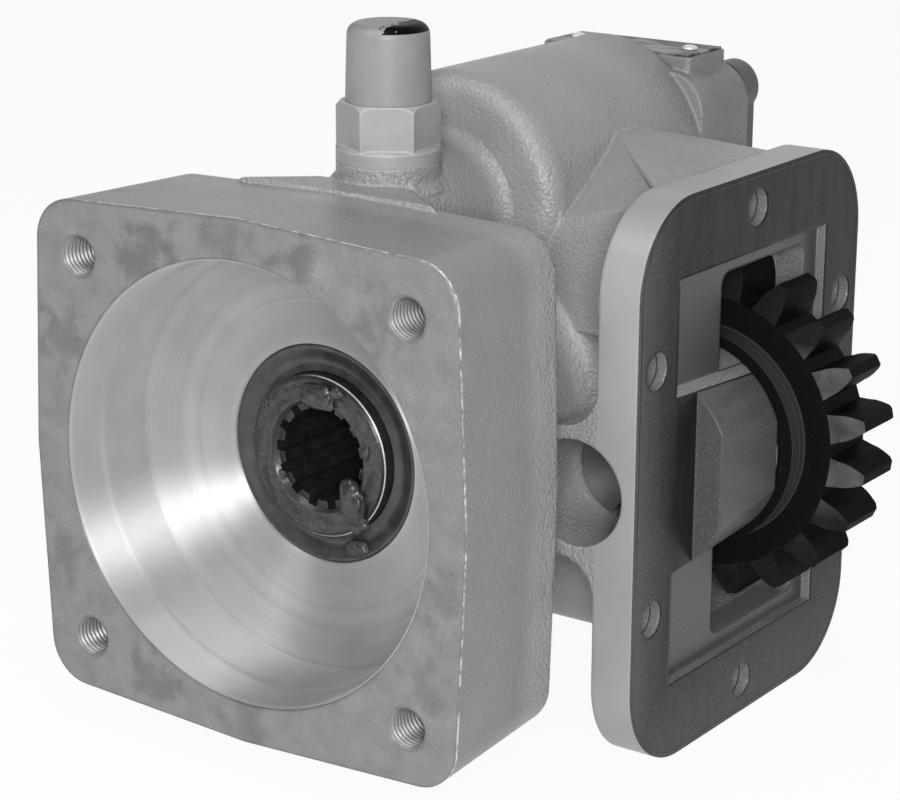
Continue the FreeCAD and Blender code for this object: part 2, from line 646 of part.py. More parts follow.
def idler_rollers():
    mid = PIN_R + NEEDLE_R + 0.05
    turn = [2.0 * math.pi * k / NEEDLE_COUNT for k in range(NEEDLE_COUNT)]
    return [round_bar(NEEDLE_R - 0.01, NEEDLE_Y0, NEEDLE_Y1, IDLER_X + mid * math.cos(a), IDLER_Z + mid * math.sin(a))
            for a in turn]


def idler_cage():
    mid = PIN_R + NEEDLE_R + 0.05
    body = ring_y(mid - 1.3, mid + 1.3, NEEDLE_Y0 - 2.0, NEEDLE_Y1 + 2.0, IDLER_X, IDLER_Z)
    for k in range(NEEDLE_COUNT):
        a = 2.0 * math.pi * k / NEEDLE_COUNT
        x = IDLER_X + mid * math.cos(a)
        z = IDLER_Z + mid * math.sin(a)
        body = body.cut(round_bar(NEEDLE_R + 0.25, NEEDLE_Y0 - 0.2, NEEDLE_Y1 + 0.2, x, z))
    return body


def thrust_washer(y0, r_out):
    return ring_y(PIN_R + RUN_GAP, r_out, y0, y0 + WASHER_T, IDLER_X, IDLER_Z)


# Shift group

def shift_sleeve():
    mid = (SLEEVE_Y0 + SLEEVE_Y1) / 2.0
    half = FORK_T / 2.0 + 0.35
    rows = [(10.0, SLEEVE_Y0), (SLEEVE_R - 1.0, SLEEVE_Y0), (SLEEVE_R, SLEEVE_Y0 + 1.0), (SLEEVE_R, mid - half),
            (SLEEVE_GROOVE_R, mid - half), (SLEEVE_GROOVE_R, mid + half), (SLEEVE_R, mid + half),
            (SLEEVE_R, SLEEVE_Y1 - 1.0), (SLEEVE_R - 1.0, SLEEVE_Y1), (10.0, SLEEVE_Y1)]
    hole = prism_y(dog_outline(DOG_TEETH, DOG_TIP_R + 0.4, DOG_ROOT_R + 0.1, 0.50, 0.52), SLEEVE_Y0 - 1.0, SLEEVE_Y1 + 1.0)
    return turned(rows).cut(hole).cut(along_y(DOG_ROOT_R + 0.1, SLEEVE_Y0 - 1.0, SLEEVE_Y1 + 1.0))


def shift_fork():
    mid = (SLEEVE_Y0 + SLEEVE_Y1) / 2.0
    y0 = mid - FORK_T / 2.0
    y1 = mid + FORK_T / 2.0
    arch = ring_y(SLEEVE_GROOVE_R + 0.4, 34.0, y0, y1)
    arch = arch.cut(block(-60, 60, y0 - 1, y1 + 1, -60, 2.0))
    stem = block(-9.0, 9.0, y0, y1, 29.0, SHIFT_Z)
    stem = stem.cut(along_y(SLEEVE_GROOVE_R + 0.4, y0 - 1, y1 + 1))
    hub = along_y(13.0, y0, y1, 0, SHIFT_Z)
    return joined([arch, stem, hub]).cut(along_y(ROD_R, 0, 200, 0, SHIFT_Z))


def shift_rod():
    slope = 2.0 / SHIFT_TRAVEL
    low = 5.0 - slope * (SWITCH_Y - ROD_Y0)
    rows = [(0.0, ROD_Y0), (low, ROD_Y0), (ROD_R, SWITCH_Y + (ROD_R - 5.0) / slope), (ROD_R, PISTON_Y1 + 3.0),
            (0.0, PISTON_Y1 + 3.0)]
    return turned(rows, 0, SHIFT_Z)


def piston():
    rows = [(ROD_R, PISTON_Y0), (SHIFT_BORE_R - 3.0, PISTON_Y0), (SHIFT_BORE_R - RUN_GAP, PISTON_Y0 + 1.0),
            (SHIFT_BORE_R - RUN_GAP, PISTON_Y0 + 7.0), (SHIFT_BORE_R - 2.6, PISTON_Y0 + 7.0),
            (SHIFT_BORE_R - 2.6, PISTON_Y0 + 11.0), (SHIFT_BORE_R - RUN_GAP, PISTON_Y0 + 11.0),
            (SHIFT_BORE_R - RUN_GAP, PISTON_Y1), (ROD_R, PISTON_Y1)]
    return turned(rows, 0, SHIFT_Z)


def piston_seal():
    return ring_y(SHIFT_BORE_R - 2.6, SHIFT_BORE_R - 0.02, PISTON_Y0 + 7.2, PISTON_Y0 + 10.8, 0, SHIFT_Z)


def rod_clip(y0):
    return ring_y(ROD_R, ROD_R + 2.5, y0, y0 + 1.2, 0, SHIFT_Z)


def coil(mid_r, wire_r, length, turns, steps, sides):
    # round wire wound about the Z axis upwards from z = 0, with flat facets along and around the wire
    count = int(turns * steps)
    rings = []
    for k in range(count + 1):
        a = 2.0 * math.pi * k / steps
        ring = []
        for j in range(sides):
            b = 2.0 * math.pi * j / sides
            r = mid_r + wire_r * math.cos(b)
            ring.append(vec(r * math.cos(a), r * math.sin(a), length * k / count + wire_r * math.sin(b)))
        rings.append(ring)
    corners = []
    for k in range(count):
        for j in range(sides):
            n = (j + 1) % sides
            corners.append((rings[k][j], rings[k + 1][j], rings[k][n]))
            corners.append((rings[k][n], rings[k + 1][j], rings[k + 1][n]))
    for ring in (rings[0], rings[-1]):
        corners += [(ring[0], ring[j], ring[j + 1]) for j in range(1, sides - 1)]
    faces = [Part.Face(Part.makePolygon([a, b, c, a])) for a, b, c in corners]
    solid = Part.Solid(Part.makeShell(faces))
    if solid.Volume < 0:
        solid.reverse()
    return solid


def return_spring():
    wire_r = 1.6
    start = SHIFT_BORE_Y0 + wire_r + 0.1
    spring = coil(20.0, wire_r, PISTON_Y0 - wire_r - 0.1 - start, 4.5, 14, 5)
    spring.rotate(vec(0, 0, 0), vec(1, 0, 0), -90.0)
    spring.translate(vec(0, start, SHIFT_Z))
    return spring


def cover_outline(y0, y1):
    half = COVER_HALF
    body = block(-half, half, y0, y1, TOWER_Z - half, TOWER_Z + half)
    body = round_edges(body, 12.0, lambda e: is_along(e, vec(0, 1, 0)))
    lugs = [along_y(8.7, y0, y1, x, z) for x, z in cover_bolt_spots()]
    return joined([body] + lugs)


def shift_cover():
    y0 = TOWER_Y1 + GASKET_T
    body = cover_outline(y0, y0 + COVER_T)
    spigot_r = SHIFT_BORE_R - 0.1
    body = body.fuse(along_y(spigot_r, TOWER_Y1 - 4.0, y0 + 1.0, 0, SHIFT_Z))
    port_boss = along_y(12.0, y0, y0 + COVER_T + 6.0, 0, SHIFT_Z)
    body = body.fuse(port_boss).removeSplitter()
    body = body.cut(along_y(5.7, TOWER_Y1 + 1.0, y0 + COVER_T + 7.0, 0, SHIFT_Z))
    body = body.cut(along_y(3.0, TOWER_Y1 - 6.0, y0 + COVER_T, 0, SHIFT_Z))
    for x, z in cover_bolt_spots():
        body = body.cut(along_y(3.3, TOWER_Y1, y0 + COVER_T + 1.0, x, z))
    return body


def shift_gasket():
    body = cover_outline(TOWER_Y1, TOWER_Y1 + GASKET_T)
    body = body.cut(along_y(SHIFT_BORE_R, TOWER_Y1 - 1.0, TOWER_Y1 + 2.0, 0, SHIFT_Z))
    for x, z in cover_bolt_spots():
        body = body.cut(along_y(3.3, TOWER_Y1 - 1.0, TOWER_Y1 + 2.0, x, z))
    return body


def hex_outline(flat, cx, cz, turn_deg):
    r = flat / math.sqrt(3.0)
    return [(cx + r * math.cos(math.radians(60 * k + turn_deg)), cz + r * math.sin(math.radians(60 * k + turn_deg)))
            for k in range(6)]


def cover_bolts():
    top = TOWER_Y1 + GASKET_T + COVER_T
    bolts = []
    for x, z in cover_bolt_spots():
        shank = along_y(2.5, TOWER_Y1 - 14.0, top + 1.0, x, z)
        head = prism_y(hex_outline(10.0, x, z, 15.0), top, top + 4.0)
        bolts.append(shank.fuse(head).removeSplitter())
    return bolts


# Switch group

def hex_prism_z(flat, z0, z1, turn_deg):
    r = flat / math.sqrt(3.0)
    pts = [vec(r * math.cos(math.radians(60 * k + turn_deg)), SWITCH_Y + r * math.sin(math.radians(60 * k + turn_deg)), z0)
           for k in range(6)]
    return Part.Face(Part.makePolygon(pts + [pts[0]])).extrude(vec(0, 0, z1 - z0))


def switch_body():
    collar = along_z(SWITCH_COLLAR_R, SWITCH_Z0, SWITCH_HEX_Z0, 0, SWITCH_Y)
    collar = collar.makeChamfer(0.8, [e for e in collar.Edges if e.BoundBox.ZMin > SWITCH_HEX_Z0 - 0.01])
    nut = hex_prism_z(SWITCH_HEX_AF, SWITCH_HEX_Z0 - 0.5, SWITCH_HEX_Z1, SWITCH_TURN)
    corner = SWITCH_HEX_AF / math.sqrt(3.0)
    bevel = Part.makeCone(corner + 13.0, corner - 1.3, 17.0, vec(0, SWITCH_Y, SWITCH_HEX_Z1 - 17.0), vec(0, 0, 1))
    nut = nut.common(bevel)
    stem = along_z(SWITCH_STEM_R, SHIFT_Z + 10.0, SWITCH_Z0 + 1.0, 0, SWITCH_Y)
    core = along_z(8.0, SWITCH_HEX_Z1 - 1.0, SWITCH_HEX_Z1 + 14.0, 0, SWITCH_Y)
    body = joined([collar, nut, stem, core])
    guide = along_z(PLUNGER_R + RUN_GAP, SHIFT_Z, SWITCH_Z0 + 2.0, 0, SWITCH_Y)
    room = along_z(6.0, SWITCH_Z0 + 1.0, SWITCH_HEX_Z1, 0, SWITCH_Y)
    return body.cut(guide).cut(room)


def switch_plunger():
    tip_z = SHIFT_Z + 5.2
    rod = along_z(PLUNGER_R, tip_z + 2.4, SWITCH_Z0 + 3.0, 0, SWITCH_Y)
    ball = Part.makeCone(0.6, PLUNGER_R, 2.4, vec(0, SWITCH_Y, tip_z), vec(0, 0, 1))
    head = along_z(5.0, SWITCH_Z0 + 1.2, SWITCH_Z0 + 3.2, 0, SWITCH_Y)
    return joined([rod, ball, head])


def switch_spring():
    wire_r = 0.5
    start = SWITCH_Z0 + 3.2 + wire_r + 0.05
    spring = coil(3.6, wire_r, SWITCH_HEX_Z1 - wire_r - 0.05 - start, 5.0, 10, 4)
    spring.translate(vec(0, SWITCH_Y, start))
    return spring


def switch_cap():
    z0 = SWITCH_HEX_Z1
    lower = Part.makeCone(SWITCH_CAP_R, SWITCH_CAP_R - 0.6, SWITCH_CAP_Z1 - z0, vec(0, SWITCH_Y, z0), vec(0, 0, 1))
    lower = lower.makeFillet(3.6, [e for e in lower.Edges if e.BoundBox.ZMin > SWITCH_CAP_Z1 - 0.01])
    room = along_z(SWITCH_CAP_R - 2.6, z0 - 1.0, SWITCH_CAP_Z1 - 3.0, 0, SWITCH_Y)
    return lower.cut(room)


# Small trim

def nameplate():
    body = block(PAD_X - PLATE_HALF_X, PAD_X + PLATE_HALF_X, PLATE_Y0, PLATE_Y1, PAD_Z, PAD_Z + PLATE_T)
    for x in rivet_spots():
        body = body.cut(along_z(1.25, PAD_Z - 1.0, PAD_Z + 2.0, x, RIVET_Y))
    return body


def nameplate_rivets():
    top = PAD_Z + PLATE_T
    rivets = []
    for x in rivet_spots():
        shank = along_z(1.2, PAD_Z - 4.5, top + 0.3, x, RIVET_Y)
        brim = Part.makeCone(2.5, 2.0, 0.8, vec(x, RIVET_Y, top), vec(0, 0, 1))
        crown = Part.makeCone(2.0, 0.8, 0.6, vec(x, RIVET_Y, top + 0.8), vec(0, 0, 1))
        rivets.append(joined([shank, brim, crown]))
    return rivets


def save(name, shape):
    if isinstance(shape, list):
        shape = shape[0] if len(shape) == 1 else Part.makeCompound(shape)
    shape.exportStep("parts/" + name + ".step")


def main():
    os.makedirs("parts", exist_ok=True)
    save("housing", housing())
    save("seal_carrier", seal_carrier())
    save("shaft_seal", shaft_seal())
    save("seal_spring", seal_spring())
    clip_y0 = OUT_BEARING_END + CLIP_PLAY / 2.0
    save("housing_clip", ring_y(OUT_BORE_R - CLIP_FACE, OUT_BORE_R + CLIP_GROOVE - CLIP_PLAY, clip_y0, clip_y0 + CLIP_THICK))
    clip_y1 = OUT_BEARING_Y[0] - CLIP_PLAY
    save("shaft_clip", ring_y(SEAL_R, SEAL_R + CLIP_FACE - 1.0, clip_y1 - CLIP_THICK, clip_y1))
    outer = [bearing_race(OUT_BEARING, y, True) for y in OUT_BEARING_Y]
    spacer = ring_y(OUT_BORE_R - OUT_SPACER_WALL, OUT_BEARING[1], OUT_BEARING_Y[0] + OUT_BEARING[2], OUT_BEARING_Y[1])
    save("output_outer_rings", outer)
    save("output_ring_spacer", spacer)
    save("output_inner_rings", [bearing_race(OUT_BEARING, y, False) for y in OUT_BEARING_Y])
    rollers = [r for y in OUT_BEARING_Y for r in bearing_rollers(OUT_BEARING, y)]
    save("output_rollers", rollers)
    save("output_cages", [bearing_cage(OUT_BEARING, y) for y in OUT_BEARING_Y])
    save("output_shaft", output_shaft())
    save("pinion_outer_rings", [bearing_race(PIN_BEARING, y, True) for y in PIN_BEARING_Y])
    save("pinion_inner_rings", [bearing_race(PIN_BEARING, y, False) for y in PIN_BEARING_Y])
    save("pinion_rollers", [r for y in PIN_BEARING_Y for r in bearing_rollers(PIN_BEARING, y)])
    save("pinion_cages", [bearing_cage(PIN_BEARING, y) for y in PIN_BEARING_Y])
    save("pinion_shaft", pinion_shaft())
    save("idler_gear", idler_gear())
    save("idler_pin", idler_pin())
    save("idler_rollers", idler_rollers())
    save("idler_cage", idler_cage())
    save("front_thrust_washer", thrust_washer(PIN_BOSS_Y1, PIN_BOSS_END_R - 1.5))
    save("rear_thrust_washer", thrust_washer(GEAR_Y1 + 0.1, 24.0))
    save("shift_sleeve", shift_sleeve())
    save("shift_fork", shift_fork())
    save("shift_rod", shift_rod())
    mid = (SLEEVE_Y0 + SLEEVE_Y1) / 2.0
    save("rod_clips", [rod_clip(mid - FORK_T / 2.0 - 1.2), rod_clip(mid + FORK_T / 2.0)])
    save("shift_piston", piston())
    save("piston_seal", piston_seal())
    save("return_spring", return_spring())
    save("shift_cover", shift_cover())
    save("shift_gasket", shift_gasket())
    save("cover_bolts", cover_bolts())
    save("switch_body", switch_body())
    save("switch_plunger", switch_plunger())
    save("switch_spring", switch_spring())
    save("switch_cap", switch_cap())
    save("nameplate", nameplate())
    save("nameplate_rivets", nameplate_rivets())


main()
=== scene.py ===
"""Power take off unit: finishes, threads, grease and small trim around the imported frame, as an add-on."""

import math

import bpy
import numpy as np
from bpy.props import FloatProperty, FloatVectorProperty, IntProperty, PointerProperty
from mathutils import Matrix, Vector


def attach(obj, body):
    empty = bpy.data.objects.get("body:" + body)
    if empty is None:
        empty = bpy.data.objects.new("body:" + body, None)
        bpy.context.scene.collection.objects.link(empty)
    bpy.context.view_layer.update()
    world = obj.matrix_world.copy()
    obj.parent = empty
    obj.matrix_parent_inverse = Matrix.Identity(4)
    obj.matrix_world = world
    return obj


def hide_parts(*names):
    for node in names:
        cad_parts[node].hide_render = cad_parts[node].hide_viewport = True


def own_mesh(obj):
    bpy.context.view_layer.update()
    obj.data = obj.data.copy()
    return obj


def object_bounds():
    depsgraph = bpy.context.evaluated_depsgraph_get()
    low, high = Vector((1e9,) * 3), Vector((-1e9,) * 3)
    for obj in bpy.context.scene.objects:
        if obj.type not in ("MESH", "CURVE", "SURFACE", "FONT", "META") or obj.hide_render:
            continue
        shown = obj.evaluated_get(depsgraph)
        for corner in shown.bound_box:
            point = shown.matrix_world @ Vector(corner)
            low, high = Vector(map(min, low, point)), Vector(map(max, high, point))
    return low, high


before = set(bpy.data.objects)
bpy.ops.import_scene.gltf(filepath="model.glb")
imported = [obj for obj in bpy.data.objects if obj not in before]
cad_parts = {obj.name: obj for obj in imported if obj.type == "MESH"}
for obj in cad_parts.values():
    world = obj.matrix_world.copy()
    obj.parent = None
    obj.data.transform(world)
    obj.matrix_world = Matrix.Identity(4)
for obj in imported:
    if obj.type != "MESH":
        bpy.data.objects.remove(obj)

bl_info = {
    "name": "Power take off unit",
    "version": (1, 0, 0),
    "blender": (4, 5, 0),
    "location": "View3D > Sidebar > Unit",
    "description": "Finishes and fine parts of a geared power take off unit",
    "category": "Object",
}

CAD_BOX = [list(corner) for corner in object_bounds()]
MM = 0.001


# Small helpers

def srgb(code):
    """Turns an sRGB hex colour into linear red, green and blue with an alpha of 1."""
    shares = [int(code[k:k + 2], 16) / 255.0 for k in (1, 3, 5)]
    return [s / 12.92 if s <= 0.04045 else ((s + 0.055) / 1.055) ** 2.4 for s in shares] + [1.0]


def colour_setting(name, description, code):
    return FloatVectorProperty(name=name, description=description, subtype="COLOR", size=3, min=0.0, max=1.0,
                               default=srgb(code)[:3])


def length_setting(name, description, millimetres):
    return FloatProperty(name=name, description=description, subtype="DISTANCE", unit="LENGTH", min=0.0,
                         default=millimetres * MM)


def add(tree, kind, inputs=(), out=0, **settings):
    """Adds a node with its settings, fills its inputs from a list or dict, and gives back one output."""
    made = tree.nodes.new(kind)
    for name, value in settings.items():
        setattr(made, name, value)
    for key, value in inputs.items() if isinstance(inputs, dict) else enumerate(inputs):
        if isinstance(value, bpy.types.NodeSocket):
            tree.links.new(value, made.inputs[key])
        elif value is not None:
            made.inputs[key].default_value = value
    return made.outputs[out]


def calc(tree, operation, *values):
    """A math node that works on one, two or three values."""
    return add(tree, "ShaderNodeMath", values, operation=operation)


def remap(tree, value, from_low, from_high, to_low, to_high):
    """Carries a value from one range to another, and holds it there at the ends."""
    return add(tree, "ShaderNodeMapRange", [value, from_low, from_high, to_low, to_high])


def shaded(tree, colour, shade):
    """A colour, given as numbers, times a shade."""
    return add(tree, "ShaderNodeVectorMath", [tuple(colour)[:3], shade], operation="MULTIPLY")


def blank(name, metallic, roughness, colour, **sockets):
    """A material with one principled shader, set to plain values that the pattern code then refines."""
    material = bpy.data.materials.new(name)
    material.use_nodes = True
    shader = material.node_tree.nodes["Principled BSDF"]
    shader.inputs["Metallic"].default_value = metallic
    shader.inputs["Roughness"].default_value = roughness
    shader.inputs["Base Color"].default_value = list(colour)[:3] + [1.0]
    for key, value in sockets.items():
        shader.inputs[key.replace("_", " ")].default_value = value
    return material, material.node_tree, shader


def millimetres(tree):
    """The place on the object in millimetres, in the same frame as the solids."""
    place = add(tree, "ShaderNodeTexCoord", out=3)
    return add(tree, "ShaderNodeVectorMath", [place, (1000.0,) * 3], operation="MULTIPLY")


def off_axis(tree, place):
    """How far a place is from the Y axis."""
    flat = add(tree, "ShaderNodeVectorMath", [place, (1.0, 0.0, 1.0)], operation="MULTIPLY")
    return add(tree, "ShaderNodeVectorMath", [flat], out=1, operation="LENGTH")


def grains(tree, place, size, detail=2.0, stretch=(1.0, 1.0, 1.0)):
    """Soft random pattern from 0 to 1. Its features are size millimetres times stretch along each axis."""
    shrink = tuple(1.0 / (size * s) for s in stretch)
    where = add(tree, "ShaderNodeVectorMath", [place, shrink], operation="MULTIPLY")
    return add(tree, "ShaderNodeTexNoise", {"Vector": where, "Scale": 1.0, "Detail": detail})


def relief(tree, shader, height, rounding=0.0):
    """Turns a height in millimetres into a bumped normal, over edges rounded by the given metres."""
    inputs = {"Height": height, "Distance": MM, "Strength": 1.0}
    if rounding:
        inputs["Normal"] = add(tree, "ShaderNodeBevel", {"Radius": rounding}, samples=6)
    tree.links.new(add(tree, "ShaderNodeBump", inputs), shader.inputs["Normal"])


def edge_mask(tree, rounding):
    """1 along edges and 0 on open faces: how far a normal averaged over the rounding leaves the true one."""
    soft = add(tree, "ShaderNodeBevel", {"Radius": rounding}, samples=6)
    true = add(tree, "ShaderNodeNewGeometry", out=1)
    along = add(tree, "ShaderNodeVectorMath", [soft, true], out=1, operation="DOT_PRODUCT")
    return remap(tree, along, 0.995, 0.86, 0.0, 1.0)


def coat(material, *names):
    """Gives CAD nodes or pieces this material alone."""
    for name in names:
        target = bpy.data.objects[name]
        target.data.materials.clear()
        target.data.materials.append(material)


def grid_piece(name, rows, material, body, close_rows=False, poles=False):
    """Makes a mesh of a grid of points, an array of rows x columns x 3 in metres, or of several such grids.

    Each square joins a point to its neighbours in the next row and column. The last column joins the first,
    and the last row does where close_rows is set. A fan closes each end row where poles is set.
    """
    grids = rows if isinstance(rows, list) else [rows]
    points, quads, fans = [], [], []
    start = 0
    for grid in grids:
        count, turn = grid.shape[:2]
        index = start + np.arange(count * turn).reshape(count, turn)
        low = index if close_rows else index[:-1]
        high = np.roll(index, -1, axis=0) if close_rows else index[1:]
        far, far_high = np.roll(low, -1, axis=1), np.roll(high, -1, axis=1)
        quads.append(np.stack([low, far, far_high, high], axis=-1).reshape(-1, 4))
        points.append(grid.reshape(-1, 3))
        start += count * turn
        for end in (0, count - 1) if poles else ():
            points.append(grid[end].mean(axis=0)[None])
            after = np.roll(index[end], -1)
            pair = (index[end], after) if end else (after, index[end])
            fans.append(np.stack([*pair, np.full(turn, start)], axis=-1))
            start += 1
    mesh = bpy.data.meshes.new(name)
    faces = np.concatenate(quads).tolist() + [f for fan in fans for f in fan.tolist()]
    mesh.from_pydata(np.concatenate(points).astype(float), [], faces)
    mesh.validate()
    mesh.polygons.foreach_set("use_smooth", np.ones(len(mesh.polygons), bool))
    piece = bpy.data.objects.new(name, mesh)
    bpy.context.scene.collection.objects.link(piece)
    mesh.materials.append(material)
    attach(piece, body)
    return piece


def turned(profile, steps):
    """A profile of (radius, along) pairs in millimetres turned about the shaft's line, the Y axis."""
    radius, along = np.asarray(profile, float).T[:, :, None]
    angle = np.linspace(0.0, 2.0 * math.pi, steps, endpoint=False)
    return np.stack([radius * np.cos(angle), along + 0.0 * angle, radius * np.sin(angle)], axis=-1) * MM


def smooth_line(points, cuts):
    """Rounds a closed line of pairs by cutting its corners again and again, at a quarter of each run."""
    line = np.asarray(points, float)
    for _ in range(cuts):
        after = np.roll(line, -1, axis=0)
        line = np.stack([0.75 * line + 0.25 * after, 0.25 * line + 0.75 * after], axis=1).reshape(-1, 2)
    return line


# Settings

class HousingSettings(bpy.types.PropertyGroup):
    """Finish of the cast housing."""

    paint: colour_setting("Paint", "Satin grey paint on the casting", "#959696")
    face: colour_setting("Pump face", "Bare machined face of the pump flange", "#878787")
    bore: colour_setting("Pump bore", "Turned metal of the pump bore", "#CDCDCD")
    side: colour_setting("Side face", "Machined face round the window", "#232323")
    ledge: colour_setting("Window ledge", "Milled ledge inside the side face", "#4C4C4C")
    grain: length_setting("Cast grain", "Width of the sand casting's grain", 1.15)
    rounding: length_setting("Edge rounding", "Radius that cast edges are softened by", 1.4)


class SteelSettings(bpy.types.PropertyGroup):
    """Colours of the bare metal parts."""

    gear: colour_setting("Gear", "Oil blackened gear steel", "#131313")
    shaft: colour_setting("Shaft", "Greased shaft end", "#262626")
    ground: colour_setting("Ground steel", "Ground bearing steel", "#9A9A9A")
    carrier: colour_setting("Carrier", "Turned seal carrier", "#D8D8D8")


class ThreadSettings(bpy.types.PropertyGroup):
    """Threads cut in the pump flange."""

    pitch: length_setting("Pitch", "Distance from one ridge to the next", 1.5)
    wall: length_setting("Wall radius", "Radius of the hole that the thread lines", 6.08)
    crest: length_setting("Crest radius", "Radius at the top of the ridges", 5.35)
    depth: length_setting("Depth", "How deep the thread goes", 24.0)
    spread: length_setting("Hole distance", "Half of the distance from hole to hole", 57.25)


class GreaseSettings(bpy.types.PropertyGroup):
    """Grease on the shaft end."""

    film: length_setting("Film", "Thickness of the smeared film", 0.30)
    shade: colour_setting("Grease", "Grease with worn metal in it", "#343434")
    steps: IntProperty(name="Steps", description="Points round each lump", min=12, max=96, default=40)


class StageSettings(bpy.types.PropertyGroup):
    """Camera, lamps and floor."""

    azimuth: FloatProperty(name="Azimuth", description="Camera's angle round the unit", subtype="ANGLE",
                           default=math.radians(35.37))
    elevation: FloatProperty(name="Elevation", description="Camera's angle above the floor", subtype="ANGLE",
                             default=math.radians(16.75))
    roll: FloatProperty(name="Roll", description="Camera's turn about its own view", subtype="ANGLE",
                        default=math.radians(0.26))
    lens: FloatProperty(name="Lens", description="Focal length on a 36 mm wide sensor", min=20.0,
                        default=107.0)
    key_power: FloatProperty(name="Key lamp", description="Power of the lamp by the camera", unit="POWER",
                             default=15.5)
    left_power: FloatProperty(name="Left lamp", description="Power of the lamp on the left", unit="POWER",
                              default=5.4)
    top_power: FloatProperty(name="Top lamp", description="Power of the lamp high in front", unit="POWER",
                             default=4.2)
    sky: FloatProperty(name="Sky", description="Even light from all round", min=0.0, default=0.08)
    floor: colour_setting("Floor", "Pale floor", "#F4F4F4")


# Finishes of the housing

# Where the housing's bare faces lie, in millimetres: the pump bore's radius and depth, the side plate as a
# rounded rectangle in y and z, and its foot, ledge, face and boss along x
BORE_RADIUS, BORE_DEPTH = 64.4, 49.0
PLATE_MIDDLE, PLATE_HALF, PLATE_CORNER = (127.0, -5.0), (36.8, 56.5), 27.0
FOOT_X, LEDGE_X, SIDE_X, BOSS_X = 75.9, 85.5, 88.8, 89.2


def machined_masks(tree, place):
    """Where the housing is bare: each mask is 1 on its face and 0 elsewhere, from the place in millimetres.

    front is the pump face, y near 0. bore is inside the radius of the pilot. The distance to the side plate's
    outline, negative inside, parts its rim from its walls. spray is where paint mist reached the side face.
    """
    x, y, z = add(tree, "ShaderNodeSeparateXYZ", [place]).node.outputs
    radius = off_axis(tree, place)
    near_axis = calc(tree, "LESS_THAN", radius, BORE_RADIUS)
    shallow = calc(tree, "LESS_THAN", y, BORE_DEPTH)
    gap = []
    for value, centre, half in zip((y, z), PLATE_MIDDLE, PLATE_HALF):
        away = calc(tree, "ABSOLUTE", calc(tree, "SUBTRACT", value, centre))
        gap.append(calc(tree, "SUBTRACT", away, half))
    corner = add(tree, "ShaderNodeCombineXYZ", [calc(tree, "MAXIMUM", g, 0.0) for g in gap])
    corner = add(tree, "ShaderNodeVectorMath", [corner], out=1, operation="LENGTH")
    inner = calc(tree, "MINIMUM", calc(tree, "MAXIMUM", *gap), 0.0)
    outline = calc(tree, "SUBTRACT", calc(tree, "ADD", corner, inner), PLATE_CORNER)
    in_plate = calc(tree, "GREATER_THAN", x, FOOT_X)
    walls = calc(tree, "MULTIPLY", in_plate, remap(tree, outline, -1.6, -0.8, 1.0, 0.0))
    near_edge = remap(tree, y, 64.0, 88.0, 0.62, 0.0)
    near_foot = remap(tree, z, -82.0, -40.0, 0.45, 0.0)
    return {"x": x, "y": y, "z": z, "radius": radius,
            "front": remap(tree, y, 0.45, 0.2, 0.0, 1.0),
            "bore": calc(tree, "MULTIPLY", near_axis, shallow),
            "walls": walls,
            "rim": calc(tree, "SUBTRACT", in_plate, walls),
            "side": remap(tree, x, SIDE_X - 0.25, SIDE_X, 0.0, 1.0),
            "boss": calc(tree, "GREATER_THAN", x, BOSS_X),
            "ledge": calc(tree, "MULTIPLY", calc(tree, "COMPARE", x, LEDGE_X, 0.25), walls),
            "spray": calc(tree, "MAXIMUM", near_edge, near_foot)}


# Stains on the pump face: x, z, radius in millimetres and how much they darken
STAINS = ((-31.4, 58.5, 15.0, 0.30), (-42.0, 38.1, 9.0, 0.28), (21.9, 66.8, 9.0, 0.32),
          (28.1, 65.0, 7.0, -0.22), (-33.3, -65.7, 12.0, 0.22), (63.5, -45.7, 10.0, 0.15),
          (-65.2, 32.1, 10.0, 0.22), (-3.0, 70.6, 12.0, 0.18), (49.2, 55.5, 11.0, 0.22),
          (-70.0, -34.8, 12.0, 0.18), (-0.5, -70.0, 12.0, 0.18), (68.8, -16.5, 11.0, 0.15))

# Directions of the scratches on the pump face: turn about Y, stretch along each axis and how much they darken
SCRATCHES = ((0.5, (0.25, 1.0, 5.0), 0.16), (-0.7, (0.3, 1.0, 4.0), 0.12), (1.5, (0.2, 1.0, 8.0), 0.12))


def stained_face(tree, place, masks):
    """Shade of the pump face: cloudy grain, fine scratches both ways, and stains at their own spots.

    A stain falls off smoothly from its centre, and its edge is broken up by the cloudy grain.
    """
    cloud = grains(tree, place, 7.0, 4.0)
    fine = grains(tree, place, 0.9, 3.0)
    shade = remap(tree, cloud, 0.3, 0.7, 0.86, 1.1)
    speck = remap(tree, fine, 0.35, 0.7, 0.9, 1.08)
    shade = calc(tree, "MULTIPLY", shade, speck)
    for turn, stretch, depth in SCRATCHES:
        turned_place = add(tree, "ShaderNodeMapping", {"Vector": place, "Rotation": (0.0, turn, 0.0)})
        line = grains(tree, turned_place, 1.3, 2.0, stretch)
        line = remap(tree, line, 0.60, 0.72, 1.0, 1.0 - depth)
        shade = calc(tree, "MULTIPLY", shade, line)
    for x, z, size, depth in STAINS:
        away = add(tree, "ShaderNodeVectorMath", [place, (x, 0.0, z)], out=1, operation="DISTANCE")
        ragged = remap(tree, cloud, 0.2, 0.8, -size * 0.8, size * 0.8)
        away = calc(tree, "ADD", away, ragged)
        spot = add(tree, "ShaderNodeMapRange", [away, size, size * 0.2, 1.0, 1.0 - depth],
                   interpolation_type="SMOOTHSTEP")
        shade = calc(tree, "MULTIPLY", shade, spot)
    return shade


